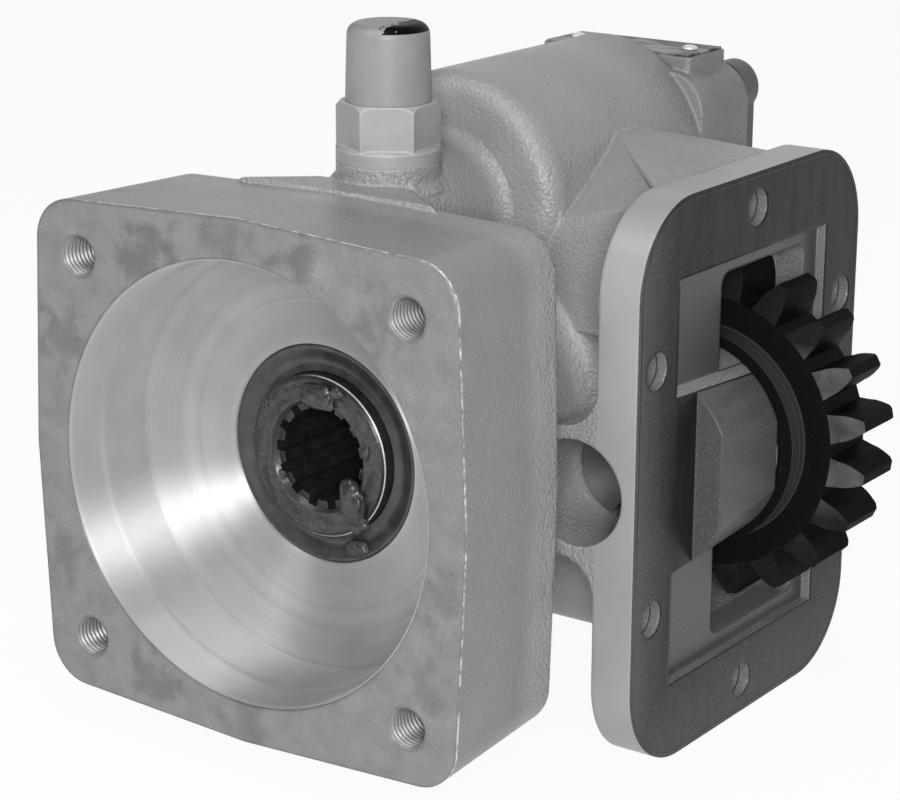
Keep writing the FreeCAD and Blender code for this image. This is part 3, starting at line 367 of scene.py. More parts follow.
def turned_rings(tree, radius, place):
    """Shade of turned metal, from 0.82 to 1.12: fine and broad rings about the shaft, a little cloudy."""
    ring = add(tree, "ShaderNodeCombineXYZ", [radius, 0.0, 0.0])
    ring = grains(tree, ring, 0.55, 3.0)
    broad = add(tree, "ShaderNodeCombineXYZ", [radius, 3.0, 0.0])
    broad = grains(tree, broad, 4.0, 1.0)
    cloud = grains(tree, place, 18.0, 2.0)
    total = calc(tree, "ADD", ring, broad)
    total = calc(tree, "ADD", total, cloud)
    return remap(tree, total, 1.0, 2.0, 0.82, 1.12)


def round_the_shaft(tree, x, z):
    """Direction round the shaft line: the place turned a quarter about Y, for the sheen of turned metal."""
    round_it = add(tree, "ShaderNodeCombineXYZ", [z, 0.0, calc(tree, "MULTIPLY", x, -1.0)])
    return add(tree, "ShaderNodeVectorMath", [round_it], operation="NORMALIZE")


def cast_height(tree, place, grain):
    """Height in millimetres of a sand cast skin under paint: long waves, grains and small pits.

    It is coarsest right behind the pump flange, between y = 46 and 62.
    """
    wave = grains(tree, place, 11.0, 2.0)
    grain_height = grains(tree, place, grain, 2.0)
    pits = add(tree, "ShaderNodeTexVoronoi", {"Vector": place, "Scale": 0.9 / grain})
    wave = calc(tree, "MULTIPLY", wave, 0.45)
    grain_height = calc(tree, "MULTIPLY", grain_height, 0.40)
    pits = remap(tree, pits, 0.0, 0.5, -0.10, 0.0)
    total = calc(tree, "ADD", wave, grain_height)
    total = calc(tree, "ADD", total, pits)
    y = add(tree, "ShaderNodeSeparateXYZ", [place], out=1)
    coarse = remap(tree, y, 62.0, 84.0, 1.7, 1.05)
    flange = remap(tree, y, 34.0, 46.0, 0.8, 1.7)
    coarse = calc(tree, "MINIMUM", coarse, flange)
    return calc(tree, "MULTIPLY", total, coarse)


def side_shade(tree, place, masks):
    """Shade of the dark side face: upright streaks, specks, and a mist of paint towards two of its edges."""
    streak = grains(tree, place, 3.0, 3.0, (1.0, 1.0, 7.0))
    shade = remap(tree, streak, 0.3, 0.7, 0.72, 1.35)
    speck = grains(tree, place, 0.45, 1.0)
    dust = remap(tree, speck, 0.6, 0.78, 1.0, 2.2)
    shade = calc(tree, "MULTIPLY", shade, dust)
    mist = calc(tree, "SUBTRACT", speck, 0.5)
    mist = calc(tree, "ADD", mist, masks["spray"])
    mist = remap(tree, mist, 0.15, 0.75, 0.0, 5.0)
    return calc(tree, "ADD", shade, mist)


def painted_casting(settings):
    """Satin enamel over sand cast grey iron, rough in the grain, edges lighter by wear and a painted
    highlight, its machined faces bare.

    Faced cast iron shows a dull speckled grey, and the bore's fine turning gives a bow tie sheen. The paint
    is darker towards the back of the top and by the pump face, whose lip has lost its paint.
    """
    material, tree, shader = blank("painted_grey_cast_iron", 0.0, 0.5, settings.paint,
                                   Anisotropic_Rotation=0.25)
    place = millimetres(tree)
    masks = machined_masks(tree, place)
    paint_shade = remap(tree, grains(tree, place, 25.0, 3.0), 0.3, 0.7, 0.93, 1.06)
    # Edges and fillets painted lighter: a painted highlight, with some worn paint
    edge_highlight_and_wear = remap(tree, edge_mask(tree, settings.rounding), 0.0, 1.0, 1.0, 1.32)
    # The paint is made darker towards the back of the top and by the pump face
    behind = remap(tree, masks["y"], 160.0, 196.0, 0.0, 0.42)
    above = remap(tree, masks["z"], 40.0, 60.0, 0.0, 1.0)
    back_top_darkening = calc(tree, "SUBTRACT", 1.0, calc(tree, "MULTIPLY", behind, above))
    pump_side_darkening = remap(tree, masks["y"], 30.0, 38.0, 0.76, 1.0)
    for shade in (edge_highlight_and_wear, calc(tree, "MULTIPLY", back_top_darkening, pump_side_darkening)):
        paint_shade = calc(tree, "MULTIPLY", paint_shade, shade)
    chip = remap(tree, grains(tree, place, 2.6, 4.0), 0.42, 0.60, 0.0, 0.9)
    lip = calc(tree, "MULTIPLY", remap(tree, masks["y"], 1.5, 1.1, 0.0, 1.0), chip)
    speck = remap(tree, grains(tree, place, 0.5, 1.0), 0.45, 0.75, 0.85, 1.5)
    rim_paint = [1.08 * c for c in settings.paint]
    layers = (
        (lip, srgb("#E6E6E6"), speck),
        (masks["rim"], rim_paint, paint_shade),
        (masks["walls"], srgb("#8A8A8A"), speck),
        (masks["ledge"], settings.ledge, speck),
        (masks["side"], settings.side, side_shade(tree, place, masks)),
        (masks["boss"], srgb("#5C5C5C"), speck),
        (masks["bore"], settings.bore, turned_rings(tree, masks["radius"], place)),
        (masks["front"], settings.face, stained_face(tree, place, masks)),
    )
    colour = shaded(tree, settings.paint, paint_shade)
    for mask, base, shade in layers:
        tone = shaded(tree, base, shade)
        colour = add(tree, "ShaderNodeMix", {0: mask, 6: colour, 7: tone}, out=2, data_type="RGBA")
    metallic = calc(tree, "MULTIPLY", masks["front"], 0.3)
    for mask, share in (("bore", 0.75), ("walls", 0.25)):
        metallic = calc(tree, "MAXIMUM", metallic, calc(tree, "MULTIPLY", masks[mask], share))
    sockets = {
        "Base Color": colour,
        "Metallic": metallic,
        "Roughness": remap(tree, masks["bore"], 0.0, 1.0, 0.35, 0.6),
        "Anisotropic": calc(tree, "MULTIPLY", masks["bore"], 0.95),
        "Specular IOR Level": remap(tree, masks["side"], 0.0, 1.0, 0.5, 0.14),
        "Tangent": round_the_shaft(tree, masks["x"], masks["z"]),
    }
    for name, value in sockets.items():
        tree.links.new(value, shader.inputs[name])
    bare = masks["front"]
    for mask in ("bore", "walls", "rim"):
        bare = calc(tree, "MAXIMUM", bare, masks[mask])
    keep = remap(tree, bare, 0.0, 1.0, 1.0, 0.10)
    height = cast_height(tree, place, settings.grain / MM)
    relief(tree, shader, calc(tree, "MULTIPLY", height, keep), settings.rounding)
    return material


# The chip in the cap's paint, in millimetres: where it starts along its slant, and how low it reaches
CHIP_START, CHIP_Z = 17.0, 118.2


def sprayed_paint(name, settings, gain, chip=False):
    """The same satin enamel sprayed over a smooth part: fine orange peel, and lighter on edges, by thinner
    paint and a painted highlight.

    The cap is black moulded plastic under it, and where its paint has chipped off the top, the plastic shows.
    """
    material, tree, shader = blank(name, 0.0, 0.42, settings.paint, Specular_IOR_Level=0.5)
    place = millimetres(tree)
    rounding = 0.7 * MM
    edge_amount = edge_mask(tree, rounding)
    cloud = grains(tree, place, 9.0, 3.0)
    shade = remap(tree, cloud, 0.3, 0.7, 0.9, 1.05)
    # Edges painted lighter: thinner paint and a painted highlight
    lift = remap(tree, edge_amount, 0.0, 1.0, 1.0, 1.8)
    shade = calc(tree, "MULTIPLY", shade, lift)
    # gain scales the paint per part: a painted highlight on the switch body, painted shade on the cover
    colour = shaded(tree, [c * gain for c in settings.paint], shade)
    peel = grains(tree, place, 0.9, 2.0)
    height = calc(tree, "MULTIPLY", peel, 0.05)
    if chip:
        z = add(tree, "ShaderNodeSeparateXYZ", [place], out=2)
        slant = add(tree, "ShaderNodeVectorMath", [place, (0.98, 0.19, 0.0)], out=1, operation="DOT_PRODUCT")
        ragged = remap(tree, grains(tree, place, 1.8, 5.0), 0.3, 0.7, -3.2, 3.2)
        slant = calc(tree, "ADD", slant, ragged)
        over = calc(tree, "GREATER_THAN", slant, CHIP_START)
        high = calc(tree, "GREATER_THAN", z, CHIP_Z)
        gone = calc(tree, "MULTIPLY", over, high)
        colour = add(tree, "ShaderNodeMix", {0: gone, 6: colour, 7: srgb("#0C0C0C")}, out=2, data_type="RGBA")
        gloss = remap(tree, gone, 0.0, 1.0, 0.5, 0.06)
        tree.links.new(gloss, shader.inputs["Specular IOR Level"])
        dip = calc(tree, "MULTIPLY", gone, -0.12)
        height = calc(tree, "ADD", height, dip)
    tree.links.new(colour, shader.inputs["Base Color"])
    relief(tree, shader, height, rounding)
    return material


class OBJECT_OT_unit_castings(bpy.types.Operator):
    """Paints the castings and the sprayed parts on them, and bares the machined faces"""

    bl_idname = "object.unit_castings"
    bl_label = "Castings and paint"

    def execute(self, context):
        settings = context.scene.unit_housing
        coat(painted_casting(settings), "housing")
        # The switch body's paint is lightened by 1.12, partly a painted highlight on its collar
        coat(sprayed_paint("satin_enamel_on_steel", settings, 1.12), "switch_body")
        # The cover's paint is darkened to 0.24 of the casting's: painted shade
        coat(sprayed_paint("satin_enamel_on_aluminium", settings, 0.24), "shift_cover", "cover_bolts")
        coat(sprayed_paint("satin_enamel_on_black_plastic", settings, 0.9, chip=True), "switch_cap")
        return {"FINISHED"}


# Finishes of the steel parts

def brushed(name, colour, roughness, grain, depth, metallic=1.0):
    """Bare metal with a fine random tooling mark: grain is its width and depth its height, in millimetres."""
    material, tree, shader = blank(name, metallic, roughness, colour)
    place = millimetres(tree)
    mark = grains(tree, place, grain, 3.0, (1.0, 4.0, 1.0))
    cloud = grains(tree, place, 12.0, 3.0)
    shade = remap(tree, cloud, 0.3, 0.7, 0.82, 1.1)
    tone = shaded(tree, colour, shade)
    tree.links.new(tone, shader.inputs["Base Color"])
    rough = remap(tree, cloud, 0.3, 0.7, roughness * 0.85, roughness * 1.2)
    tree.links.new(rough, shader.inputs["Roughness"])
    relief(tree, shader, calc(tree, "MULTIPLY", mark, depth), 0.0004)
    return material


# The gear's own line, the cone of its bevelled tooth ends (y at the line and rise per millimetre of radius)
# and the radius of the ring at its hub's foot, in millimetres
GEAR_LINE = (68.693, 0.0, -5.0)
BEVEL_Y, BEVEL_RISE = 124.43, 0.284
HUB_FOOT_R = 33.55


def oiled_gear_steel(settings):
    """Hardened gear steel, black with oil: dull and dusty on its faces, a painted highlight on its bevelled
    tooth ends.

    The bevel is the cone y = BEVEL_Y + BEVEL_RISE r, painted as lit only where its teeth stand out of the
    window.
    """
    material, tree, shader = blank("oil_black_gear_steel", 0.0, 0.5, settings.gear, Specular_IOR_Level=0.02)
    place = millimetres(tree)
    split = add(tree, "ShaderNodeSeparateXYZ", [place]).node.outputs
    radius = off_axis(tree, add(tree, "ShaderNodeVectorMath", [place, GEAR_LINE], operation="SUBTRACT"))
    cone = calc(tree, "MULTIPLY_ADD", radius, -BEVEL_RISE, split["Y"])
    bevel = calc(tree, "COMPARE", cone, BEVEL_Y, 0.12)
    # A bright ring at the hub's foot: a painted highlight
    ring = calc(tree, "COMPARE", radius, HUB_FOOT_R, 0.28)
    edge_amount = edge_mask(tree, 0.0004)
    dust = grains(tree, place, 0.42, 2.0)
    speck = remap(tree, dust, 0.62, 0.78, 1.0, 6.0)
    cloud = grains(tree, place, 6.0, 3.0)
    # The bevel's painted highlight fades above z = 20 and below z = -14
    low = remap(tree, split["Z"], 27.0, 20.0, 0.1, 1.0)
    foot = remap(tree, split["Z"], -26.0, -14.0, 0.12, 1.0)
    low = calc(tree, "MINIMUM", low, foot)
    lit = remap(tree, cloud, 0.3, 0.7, 6.0, 14.0)
    lit = calc(tree, "MULTIPLY", lit, low)
    # Edges painted lighter: a painted highlight
    shade = calc(tree, "MULTIPLY_ADD", speck, edge_amount, speck)
    for mask, gain in ((bevel, lit), (ring, 5.0)):
        more = calc(tree, "MULTIPLY", mask, gain)
        shade = calc(tree, "ADD", shade, more)
    tone = shaded(tree, settings.gear, shade)
    tree.links.new(tone, shader.inputs["Base Color"])
    mark = grains(tree, place, 0.8, 3.0)
    relief(tree, shader, calc(tree, "MULTIPLY", mark, 0.08), 0.0006)
    return material


# The painted highlight on the edge of the shaft's end in millimetres: outside this radius and in front of
# this y
HIGHLIGHT_EDGE_R, HIGHLIGHT_EDGE_Y = 23.6, 35.4


def greased_steel(settings):
    """Turned shaft steel under a smear of dark grease: blotchy gloss over dull grey.

    The edge of the shaft's end has a painted highlight from the top round the right to the foot.
    """
    material, tree, shader = blank("greased_shaft_steel", 0.2, 0.4, settings.shaft, Coat_Weight=0.3,
                                   Coat_Roughness=0.25)
    place = millimetres(tree)
    y = add(tree, "ShaderNodeSeparateXYZ", [place], out=1)
    radius = off_axis(tree, place)
    outer = calc(tree, "GREATER_THAN", radius, HIGHLIGHT_EDGE_R)
    at_end = calc(tree, "LESS_THAN", y, HIGHLIGHT_EDGE_Y)
    across = add(tree, "ShaderNodeVectorMath", [place, (0.98, 0.0, -0.12)], out=1, operation="DOT_PRODUCT")
    highlight_side = remap(tree, across, -9.0, 1.0, 0.0, 1.0)
    edge = calc(tree, "MULTIPLY", outer, at_end)
    edge = calc(tree, "MULTIPLY", edge, highlight_side)
    blot = grains(tree, place, 3.0, 4.0)
    shade = remap(tree, blot, 0.3, 0.7, 0.55, 1.5)
    tone = shaded(tree, settings.shaft, shade)
    # Bright colour on the edge of the shaft's end: a painted highlight
    tone = add(tree, "ShaderNodeMix", {0: edge, 6: tone, 7: srgb("#C4C4C4")}, out=2, data_type="RGBA")
    tree.links.new(tone, shader.inputs["Base Color"])
    rough = remap(tree, blot, 0.3, 0.7, 0.5, 0.25)
    tree.links.new(rough, shader.inputs["Roughness"])
    fine = grains(tree, place, 1.1, 3.0)
    relief(tree, shader, calc(tree, "MULTIPLY", fine, 0.12), 0.0004)
    return material


def turned_carrier(settings):
    """Aluminium turned on a lathe: bright, with rings about the shaft that spread a highlight into a fan."""
    material, tree, shader = blank("turned_aluminium", 0.85, 0.6, settings.carrier, Anisotropic=0.95,
                                   Anisotropic_Rotation=0.25)
    place = millimetres(tree)
    x, _, z = add(tree, "ShaderNodeSeparateXYZ", [place]).node.outputs
    radius = off_axis(tree, place)
    shade = turned_rings(tree, radius, place)
    tone = shaded(tree, settings.carrier, shade)
    tree.links.new(tone, shader.inputs["Base Color"])
    tree.links.new(round_the_shaft(tree, x, z), shader.inputs["Tangent"])
    ring = grains(tree, add(tree, "ShaderNodeCombineXYZ", [radius, 0.0, 0.0]), 0.5, 2.0)
    relief(tree, shader, calc(tree, "MULTIPLY", ring, 0.02), 0.0006)
    return material


class OBJECT_OT_unit_metals(bpy.types.Operator):
    """Gives the gears, shafts, bearings and other bare metal parts their finishes"""

    bl_idname = "object.unit_metals"
    bl_label = "Gears, shafts and bearings"

    def execute(self, context):
        settings = context.scene.unit_steel
        coat(oiled_gear_steel(settings), "idler_gear", "pinion_shaft", "shift_sleeve")
        coat(greased_steel(settings), "output_shaft")
        coat(turned_carrier(settings), "seal_carrier", "shift_piston")
        ground = brushed("ground_bearing_steel", settings.ground, 0.28, 0.6, 0.01)
        coat(ground, "output_outer_rings", "output_ring_spacer", "output_inner_rings", "output_rollers",
             "pinion_outer_rings", "pinion_inner_rings", "pinion_rollers", "idler_pin", "idler_rollers",
             "front_thrust_washer", "rear_thrust_washer", "shift_rod", "switch_plunger")
        strip = brushed("spring_steel_strip", srgb("#6F6F6F"), 0.35, 0.5, 0.01)
        coat(strip, "housing_clip", "shaft_clip", "rod_clips", "seal_spring")
        brass = brushed("turned_cage_brass", srgb("#B08D47"), 0.34, 0.7, 0.02)
        coat(brass, "output_cages", "pinion_cages", "idler_cage")
        coat(brushed("cast_fork_iron", srgb("#4A4A4A"), 0.6, 1.5, 0.15, 0.5), "shift_fork")
        return {"FINISHED"}


# Rubber and trim

def rubber(name):
    """Black nitrile rubber wet with oil: a soft wide gloss, fine moulded grain and smears round the lip."""
    black = srgb("#343434")
    material, tree, shader = blank(name, 0.0, 0.36, black, Coat_Weight=0.3, Coat_Roughness=0.22)
    place = millimetres(tree)
    smear = grains(tree, place, 4.0, 4.0)
    shade = remap(tree, smear, 0.35, 0.7, 0.8, 1.6)
    tone = shaded(tree, black, shade)
    tree.links.new(tone, shader.inputs["Base Color"])
    fine = grains(tree, place, 0.6, 2.0)
    relief(tree, shader, calc(tree, "MULTIPLY", fine, 0.03))
    return material


def gasket_board():
    """Fibre gasket board: matt, flecked and slightly fuzzy."""
    board = srgb("#262626")
    material, tree, shader = blank("fibre_gasket_board", 0.0, 0.85, board)
    place = millimetres(tree)
    fleck = grains(tree, place, 0.8, 3.0)
    shade = remap(tree, fleck, 0.3, 0.7, 0.7, 1.5)
    tone = shaded(tree, board, shade)
    tree.links.new(tone, shader.inputs["Base Color"])
    relief(tree, shader, calc(tree, "MULTIPLY", fleck, 0.08))
    return material


def plate_aluminium():
    """Thin anodised aluminium sheet under a film of paint mist: dark, smudged, bright at its cut edges."""
    sheet = srgb("#4C4C4C")
    material, tree, shader = blank("smudged_sheet_aluminium", 0.3, 0.42, sheet)
    place = millimetres(tree)
    edge_amount = edge_mask(tree, 0.0004)
    smudge = grains(tree, place, 6.0, 4.0, (2.0, 1.0, 1.0))
    shade = remap(tree, smudge, 0.42, 0.62, 0.4, 4.5)
    lift = remap(tree, edge_amount, 0.0, 1.0, 1.0, 2.2)
    shade = calc(tree, "MULTIPLY", shade, lift)
    tone = shaded(tree, sheet, shade)
    tree.links.new(tone, shader.inputs["Base Color"])
    fine = grains(tree, place, 0.7, 2.0)
    relief(tree, shader, calc(tree, "MULTIPLY", fine, 0.02), 0.0003)
    return material


class OBJECT_OT_unit_soft_trim(bpy.types.Operator):
    """Finishes the piston seal, gasket and nameplate, and makes the shaft seal and the rivets"""

    bl_idname = "object.unit_soft_trim"
    bl_label = "Seals, gasket and nameplate"

    def execute(self, context):
        nitrile = rubber("oiled_nitrile_rubber")
        coat(nitrile, "piston_seal")
        coat(gasket_board(), "shift_gasket")
        coat(plate_aluminium(), "nameplate")
        seal = grid_piece("oil_seal", seal_surface(), nitrile, "case", close_rows=True)
        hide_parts("shaft_seal")
        # Near white with little metal: a painted reflection that makes the rivet heads bright
        steel = brushed("bright_rivet_steel", srgb("#F0F0F0"), 0.35, 0.5, 0.01, 0.3)
        heads = grid_piece("drive_rivets", rivet_surfaces(), steel, "case", poles=True)
        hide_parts("nameplate_rivets")
        return {"FINISHED"}


def seal_surface():
    """The shaft seal: its half section, a closed line of radius and place along Y, is rounded by cutting
    corners and turned about the shaft. A shallow dish runs from the outer case to the lip on the shaft."""
    section = [(32.5, 46.5), (32.5, 38.4), (32.1, 37.6), (31.2, 37.6), (29.8, 38.4), (28.0, 39.4),
               (26.4, 39.6), (25.0, 39.0), (24.15, 38.6), (24.12, 39.6), (25.0, 41.5), (24.2, 43.6),
               (26.6, 45.6), (28.0, 46.5)]
    return turned(smooth_line(section, 3), 128)


# The rivets on the nameplate in millimetres: centres (x, y), the plate's top, and the radii of shank and head
RIVETS, PLATE_TOP, SHANK_R, HEAD_R = ((-19.0, 198.5), (23.0, 198.5)), 97.8, 1.2, 2.5


def rivet_surfaces():
    """Two drive rivets turned about Z: a shank under a low dome, whose radius and height go with the cosine
    and sine of an arc."""
    angle = np.linspace(0.0, 2.0 * math.pi, 32, endpoint=False)
    arc = np.linspace(0.0, 0.46 * math.pi, 8)
    radius = np.concatenate([[SHANK_R, SHANK_R, HEAD_R], HEAD_R * np.cos(arc)])[:, None]
    height = np.concatenate([[-4.4, 0.05, 0.05], 0.25 + 1.15 * np.sin(arc)])[:, None]
    across, deep, up = radius * np.cos(angle), radius * np.sin(angle), PLATE_TOP + height + 0.0 * angle
    return [np.stack([x + across, y + deep, up], axis=-1) * MM for x, y in RIVETS]


# Threads

def thread_surface(settings, x, z):
    """A right hand thread in a hole along Y: the radius goes from wall to crest and back as a triangle wave
    of the place along the hole less the turn times the pitch, and fades to the wall at the thread's end. At
    the mouth nothing stands inside a 45 degree chamfer. The sheet turns back along the wall into a ring."""
    wall, crest, pitch = settings.wall / MM, settings.crest / MM, settings.pitch / MM
    angle = np.linspace(0.0, 2.0 * math.pi, 56, endpoint=False)
    along = np.arange(0.03, settings.depth / MM, pitch / 8.0)[:, None]
    phase = np.mod(along / pitch - angle / (2.0 * math.pi), 1.0)
    ridge = 1.0 - np.abs(2.0 * phase - 1.0)
    end = np.clip((settings.depth / MM - along) / pitch, 0.0, 1.0)
    root = wall - 0.03
    radius = np.maximum(root - (root - crest) * ridge * end, root - along)
    back = np.array([along[-1, 0], along[0, 0]])[:, None]
    radius = np.concatenate([radius, np.full((2, len(angle)), wall)])
    along = np.concatenate([along, back]) + 0.0 * angle
    return np.stack([x + radius * np.cos(angle), along, z + radius * np.sin(angle)], axis=-1) * MM


# The most faces that all threads together may have
THREAD_FACES_MOST = 90000


class MESH_OT_unit_threads(bpy.types.Operator):
    """Cuts threads in the four holes of the pump flange"""

    bl_idname = "mesh.unit_threads"
    bl_label = "Pump flange threads"

    def execute(self, context):
        settings = context.scene.unit_threads
        reach = settings.spread / MM
        rings = [thread_surface(settings, x, z) for x in (-reach, reach) for z in (-reach, reach)]
        iron = brushed("cut_thread_iron", srgb("#989898"), 0.42, 0.5, 0.02, 0.5)
        piece = grid_piece("pump_threads", rings, iron, "case", close_rows=True)
        if len(piece.data.polygons) > THREAD_FACES_MOST:
            raise RuntimeError("the threads have too many faces: use a longer pitch or a smaller depth")
        return {"FINISHED"}


# Springs

def helix_surface(mid_r, wire_r, length, turns, place, upright):
    """Wire wound into a spring: a circle of wire_r carried along a helix of mid_r, whose rise slows at both
    ends so that the end turns lie close. The helix stands along Z, or along Y where upright is not set."""
    steps = int(turns * 40)
    share = np.linspace(0.0, 1.0, steps)
    climb = share - 0.5 * np.sin(4.0 * math.pi * share) / (4.0 * math.pi)
    turn = 2.0 * math.pi * turns * share
    along = climb * length
    ring = np.linspace(0.0, 2.0 * math.pi, 12, endpoint=False)
    out = mid_r + wire_r * np.cos(ring)[None]
    px = out * np.cos(turn)[:, None]
    py = out * np.sin(turn)[:, None]
    pz = along[:, None] + wire_r * np.sin(ring)[None]
    rows = [px, py, pz] if upright else [px, pz, py]
    rows = np.stack(rows, axis=-1) + np.asarray(place, float)
    return (rows if upright else rows[:, ::-1]) * MM


class MESH_OT_unit_springs(bpy.types.Operator):
    """Winds the return spring and the switch spring"""

    bl_idname = "mesh.unit_springs"
    bl_label = "Springs"

    def execute(self, context):
        wire = brushed("oiled_spring_wire", srgb("#5A5A5A"), 0.32, 0.5, 0.01)
        rows = helix_surface(mid_r=20.0, wire_r=1.55, length=58.6, turns=4.5, place=(0.0, 127.7, 64.0),
                             upright=False)
        spring = grid_piece("return_coil", rows, wire, "case", poles=True)
        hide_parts("return_spring")
        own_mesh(spring)
        rows = helix_surface(mid_r=3.6, wire_r=0.48, length=12.9, turns=5.0, place=(0.0, 69.0, 84.45),
                             upright=True)
        spring = grid_piece("switch_coil", rows, wire, "case", poles=True)
        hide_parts("switch_spring")
        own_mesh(spring)
        return {"FINISHED"}


# Grease

# Lumps of grease: centre x, y, z, half sizes across, deep and high in millimetres, and a number for the form
LUMPS = ((1.0, 33.5, 18.2, 6.4, 1.9, 4.0, 1.0), (7.6, 33.8, 20.4, 2.2, 1.0, 1.7, 2.3),
         (13.4, 33.4, -11.0, 4.3, 2.3, 6.9, 3.1), (15.2, 33.8, -17.0, 3.4, 1.5, 2.8, 4.2),
         (-12.4, 34.1, -7.6, 1.5, 0.8, 1.5, 5.0), (11.6, 37.9, -26.4, 4.2, 1.3, 2.8, 6.4),
         (-18.6, 34.0, 13.0, 1.4, 0.6, 1.1, 7.7), (17.8, 34.0, 4.6, 1.2, 0.7, 2.2, 8.1))
# Lumps beyond this place along the shaft lie on the seal
SEAL_Y = 36.0

# The smeared film in millimetres: its inner and outer radius on the shaft's end, and where the end lies
FILM_INNER, FILM_OUTER, SHAFT_END_Y = 16.6, 23.0, 34.52


def lump_surface(lump, steps):
    """A lump of grease: a ball stretched to its half sizes, whose radius varies by waves of its direction."""
    x, y, z, wide, deep, high, form = lump
    round_it = np.linspace(0.0, 2.0 * math.pi, steps, endpoint=False)[None]
    rise = np.linspace(0.06, math.pi - 0.06, steps // 2)[:, None]
    dx = np.sin(rise) * np.cos(round_it)
    dz = np.sin(rise) * np.sin(round_it)
    dy = np.cos(rise) + 0.0 * round_it
    wave = 0.16 * np.sin(3.1 * dx + 2.0 * form) * np.sin(2.7 * dz + form)
    wave = wave + 0.09 * np.sin(6.3 * dx - form) * np.cos(5.9 * dz + 1.7 * form)
    size = 1.0 + wave + 0.05 * np.sin(11.0 * dy + 9.0 * dx)
    return np.stack([x + wide * size * dx, y - deep * size * dy, z + high * size * dz], axis=-1) * MM


def film_surface(settings):
    """A smeared film on the shaft's end: a ring between two radii whose thickness is a sum of waves round and
    across, clipped at nothing, over a back just below the steel."""
    angle = np.linspace(0.0, 2.0 * math.pi, 220, endpoint=False)[None]
    radius = np.linspace(FILM_INNER, FILM_OUTER, 22)[:, None]
    edge = np.clip(np.minimum(radius - FILM_INNER, FILM_OUTER - radius) / 1.2, 0.0, 1.0)
    wave = 0.5 + 0.5 * np.sin(3.0 * angle + 0.6 * radius) + 0.4 * np.sin(7.0 * angle - 1.3 * radius)
    wave = wave + 0.25 * np.sin(17.0 * angle + 2.1 * radius) * np.sin(2.4 * radius)
    wave = wave + 0.12 * np.sin(41.0 * angle)
    height = settings.film / MM * np.clip(wave, 0.0, None) * edge
    front = SHAFT_END_Y - height
    x, z = radius * np.cos(angle), radius * np.sin(angle)
    near = np.stack([x, front, z], axis=-1)
    far = np.stack([x, SHAFT_END_Y + 0.08 + 0.0 * front, z], axis=-1)[[-1, 0]]
    return np.concatenate([near, far]) * MM


def grease(settings):
    """Bearing grease with worn metal in it: wet, slightly cloudy, with bright specks and a pulled surface."""
    material, tree, shader = blank("worn_bearing_grease", 0.0, 0.35, settings.shade, Coat_Weight=0.25,
                                   Coat_Roughness=0.14, Subsurface_Weight=0.1)
    place = millimetres(tree)
    cloud = grains(tree, place, 1.6, 4.0)
    shade = remap(tree, cloud, 0.3, 0.7, 0.5, 1.6)
    speck = grains(tree, place, 0.5, 1.0)
    speck = remap(tree, speck, 0.68, 0.74, 1.0, 3.0)
    shade = calc(tree, "MULTIPLY", shade, speck)
    tone = shaded(tree, settings.shade, shade)
    tree.links.new(tone, shader.inputs["Base Color"])
    pulled = grains(tree, place, 1.2, 3.0)
    relief(tree, shader, calc(tree, "MULTIPLY", pulled, 0.35))
    return material


class MESH_OT_unit_grease(bpy.types.Operator):
    """Smears grease over the shaft end and drops lumps of it by the splines and the seal"""

    bl_idname = "mesh.unit_grease"
    bl_label = "Grease"

    def execute(self, context):
        settings = context.scene.unit_grease
        paste = grease(settings)
        grid_piece("grease_film", film_surface(settings), paste, "output", close_rows=True)
        on_shaft = [lump_surface(lump, settings.steps) for lump in LUMPS if lump[1] < SEAL_Y]
        on_seal = [lump_surface(lump, settings.steps) for lump in LUMPS if lump[1] > SEAL_Y]
        grid_piece("grease_lumps", on_shaft, paste, "output", poles=True)
        grid_piece("grease_on_seal", on_seal, paste, "case", poles=True)
        return {"FINISHED"}


# Stage

def sweep_floor(height):
    """A plain floor that sweeps up at its back: a flat run, a quarter circle and an upright run."""
    bend = np.linspace(0.0, 0.5 * math.pi, 12)
    along = np.concatenate([[-6.0, 2.5], 2.5 + np.sin(bend)])
    rise = np.concatenate([[0.0, 0.0], 1.0 - np.cos(bend)])
    along, rise = np.append(along, 3.5), np.append(rise, 5.0)
    side, along, rise = np.broadcast_arrays(np.array([-4.0, 4.0]), along[:, None], rise[:, None])
    rows = np.stack([side, along, height + rise], axis=-1)
    mesh = bpy.data.meshes.new("floor")
    near = np.arange(len(rows) - 1) * 2
    faces = np.stack([near, near + 1, near + 3, near + 2], axis=-1)
    mesh.from_pydata(rows.reshape(-1, 3), [], faces.tolist())
    piece = bpy.data.objects.new("floor", mesh)
    bpy.context.scene.collection.objects.link(piece)
    return piece


def pale_floor(settings):
    """Matt paper white. Camera, mirrors and glass see 0.94 of it as plain white: a faint shadow is left."""
    material, tree, shader = blank("matt_white_paper", 0.0, 0.9, settings.floor, Specular_IOR_Level=0.1)
    place = add(tree, "ShaderNodeTexCoord", out=3)
    fibre = add(tree, "ShaderNodeTexNoise", {"Vector": place, "Scale": 900.0, "Detail": 2.0})
    tree.links.new(add(tree, "ShaderNodeBump", {"Height": fibre, "Distance": 0.0001, "Strength": 0.3}),
                   shader.inputs["Normal"])
    seen = add(tree, "ShaderNodeLightPath").node.outputs
    ray = calc(tree, "MAXIMUM", seen["Is Camera Ray"], seen["Is Glossy Ray"])
    ray = calc(tree, "MAXIMUM", ray, seen["Is Transmission Ray"])
    glow = add(tree, "ShaderNodeEmission", [(1.0, 1.0, 1.0, 1.0), 1.0])
    share = calc(tree, "MULTIPLY", ray, 0.94)
    both = add(tree, "ShaderNodeMixShader", [share, shader.outputs[0], glow])
    tree.links.new(both, tree.nodes["Material Output"].inputs["Surface"])
    return material


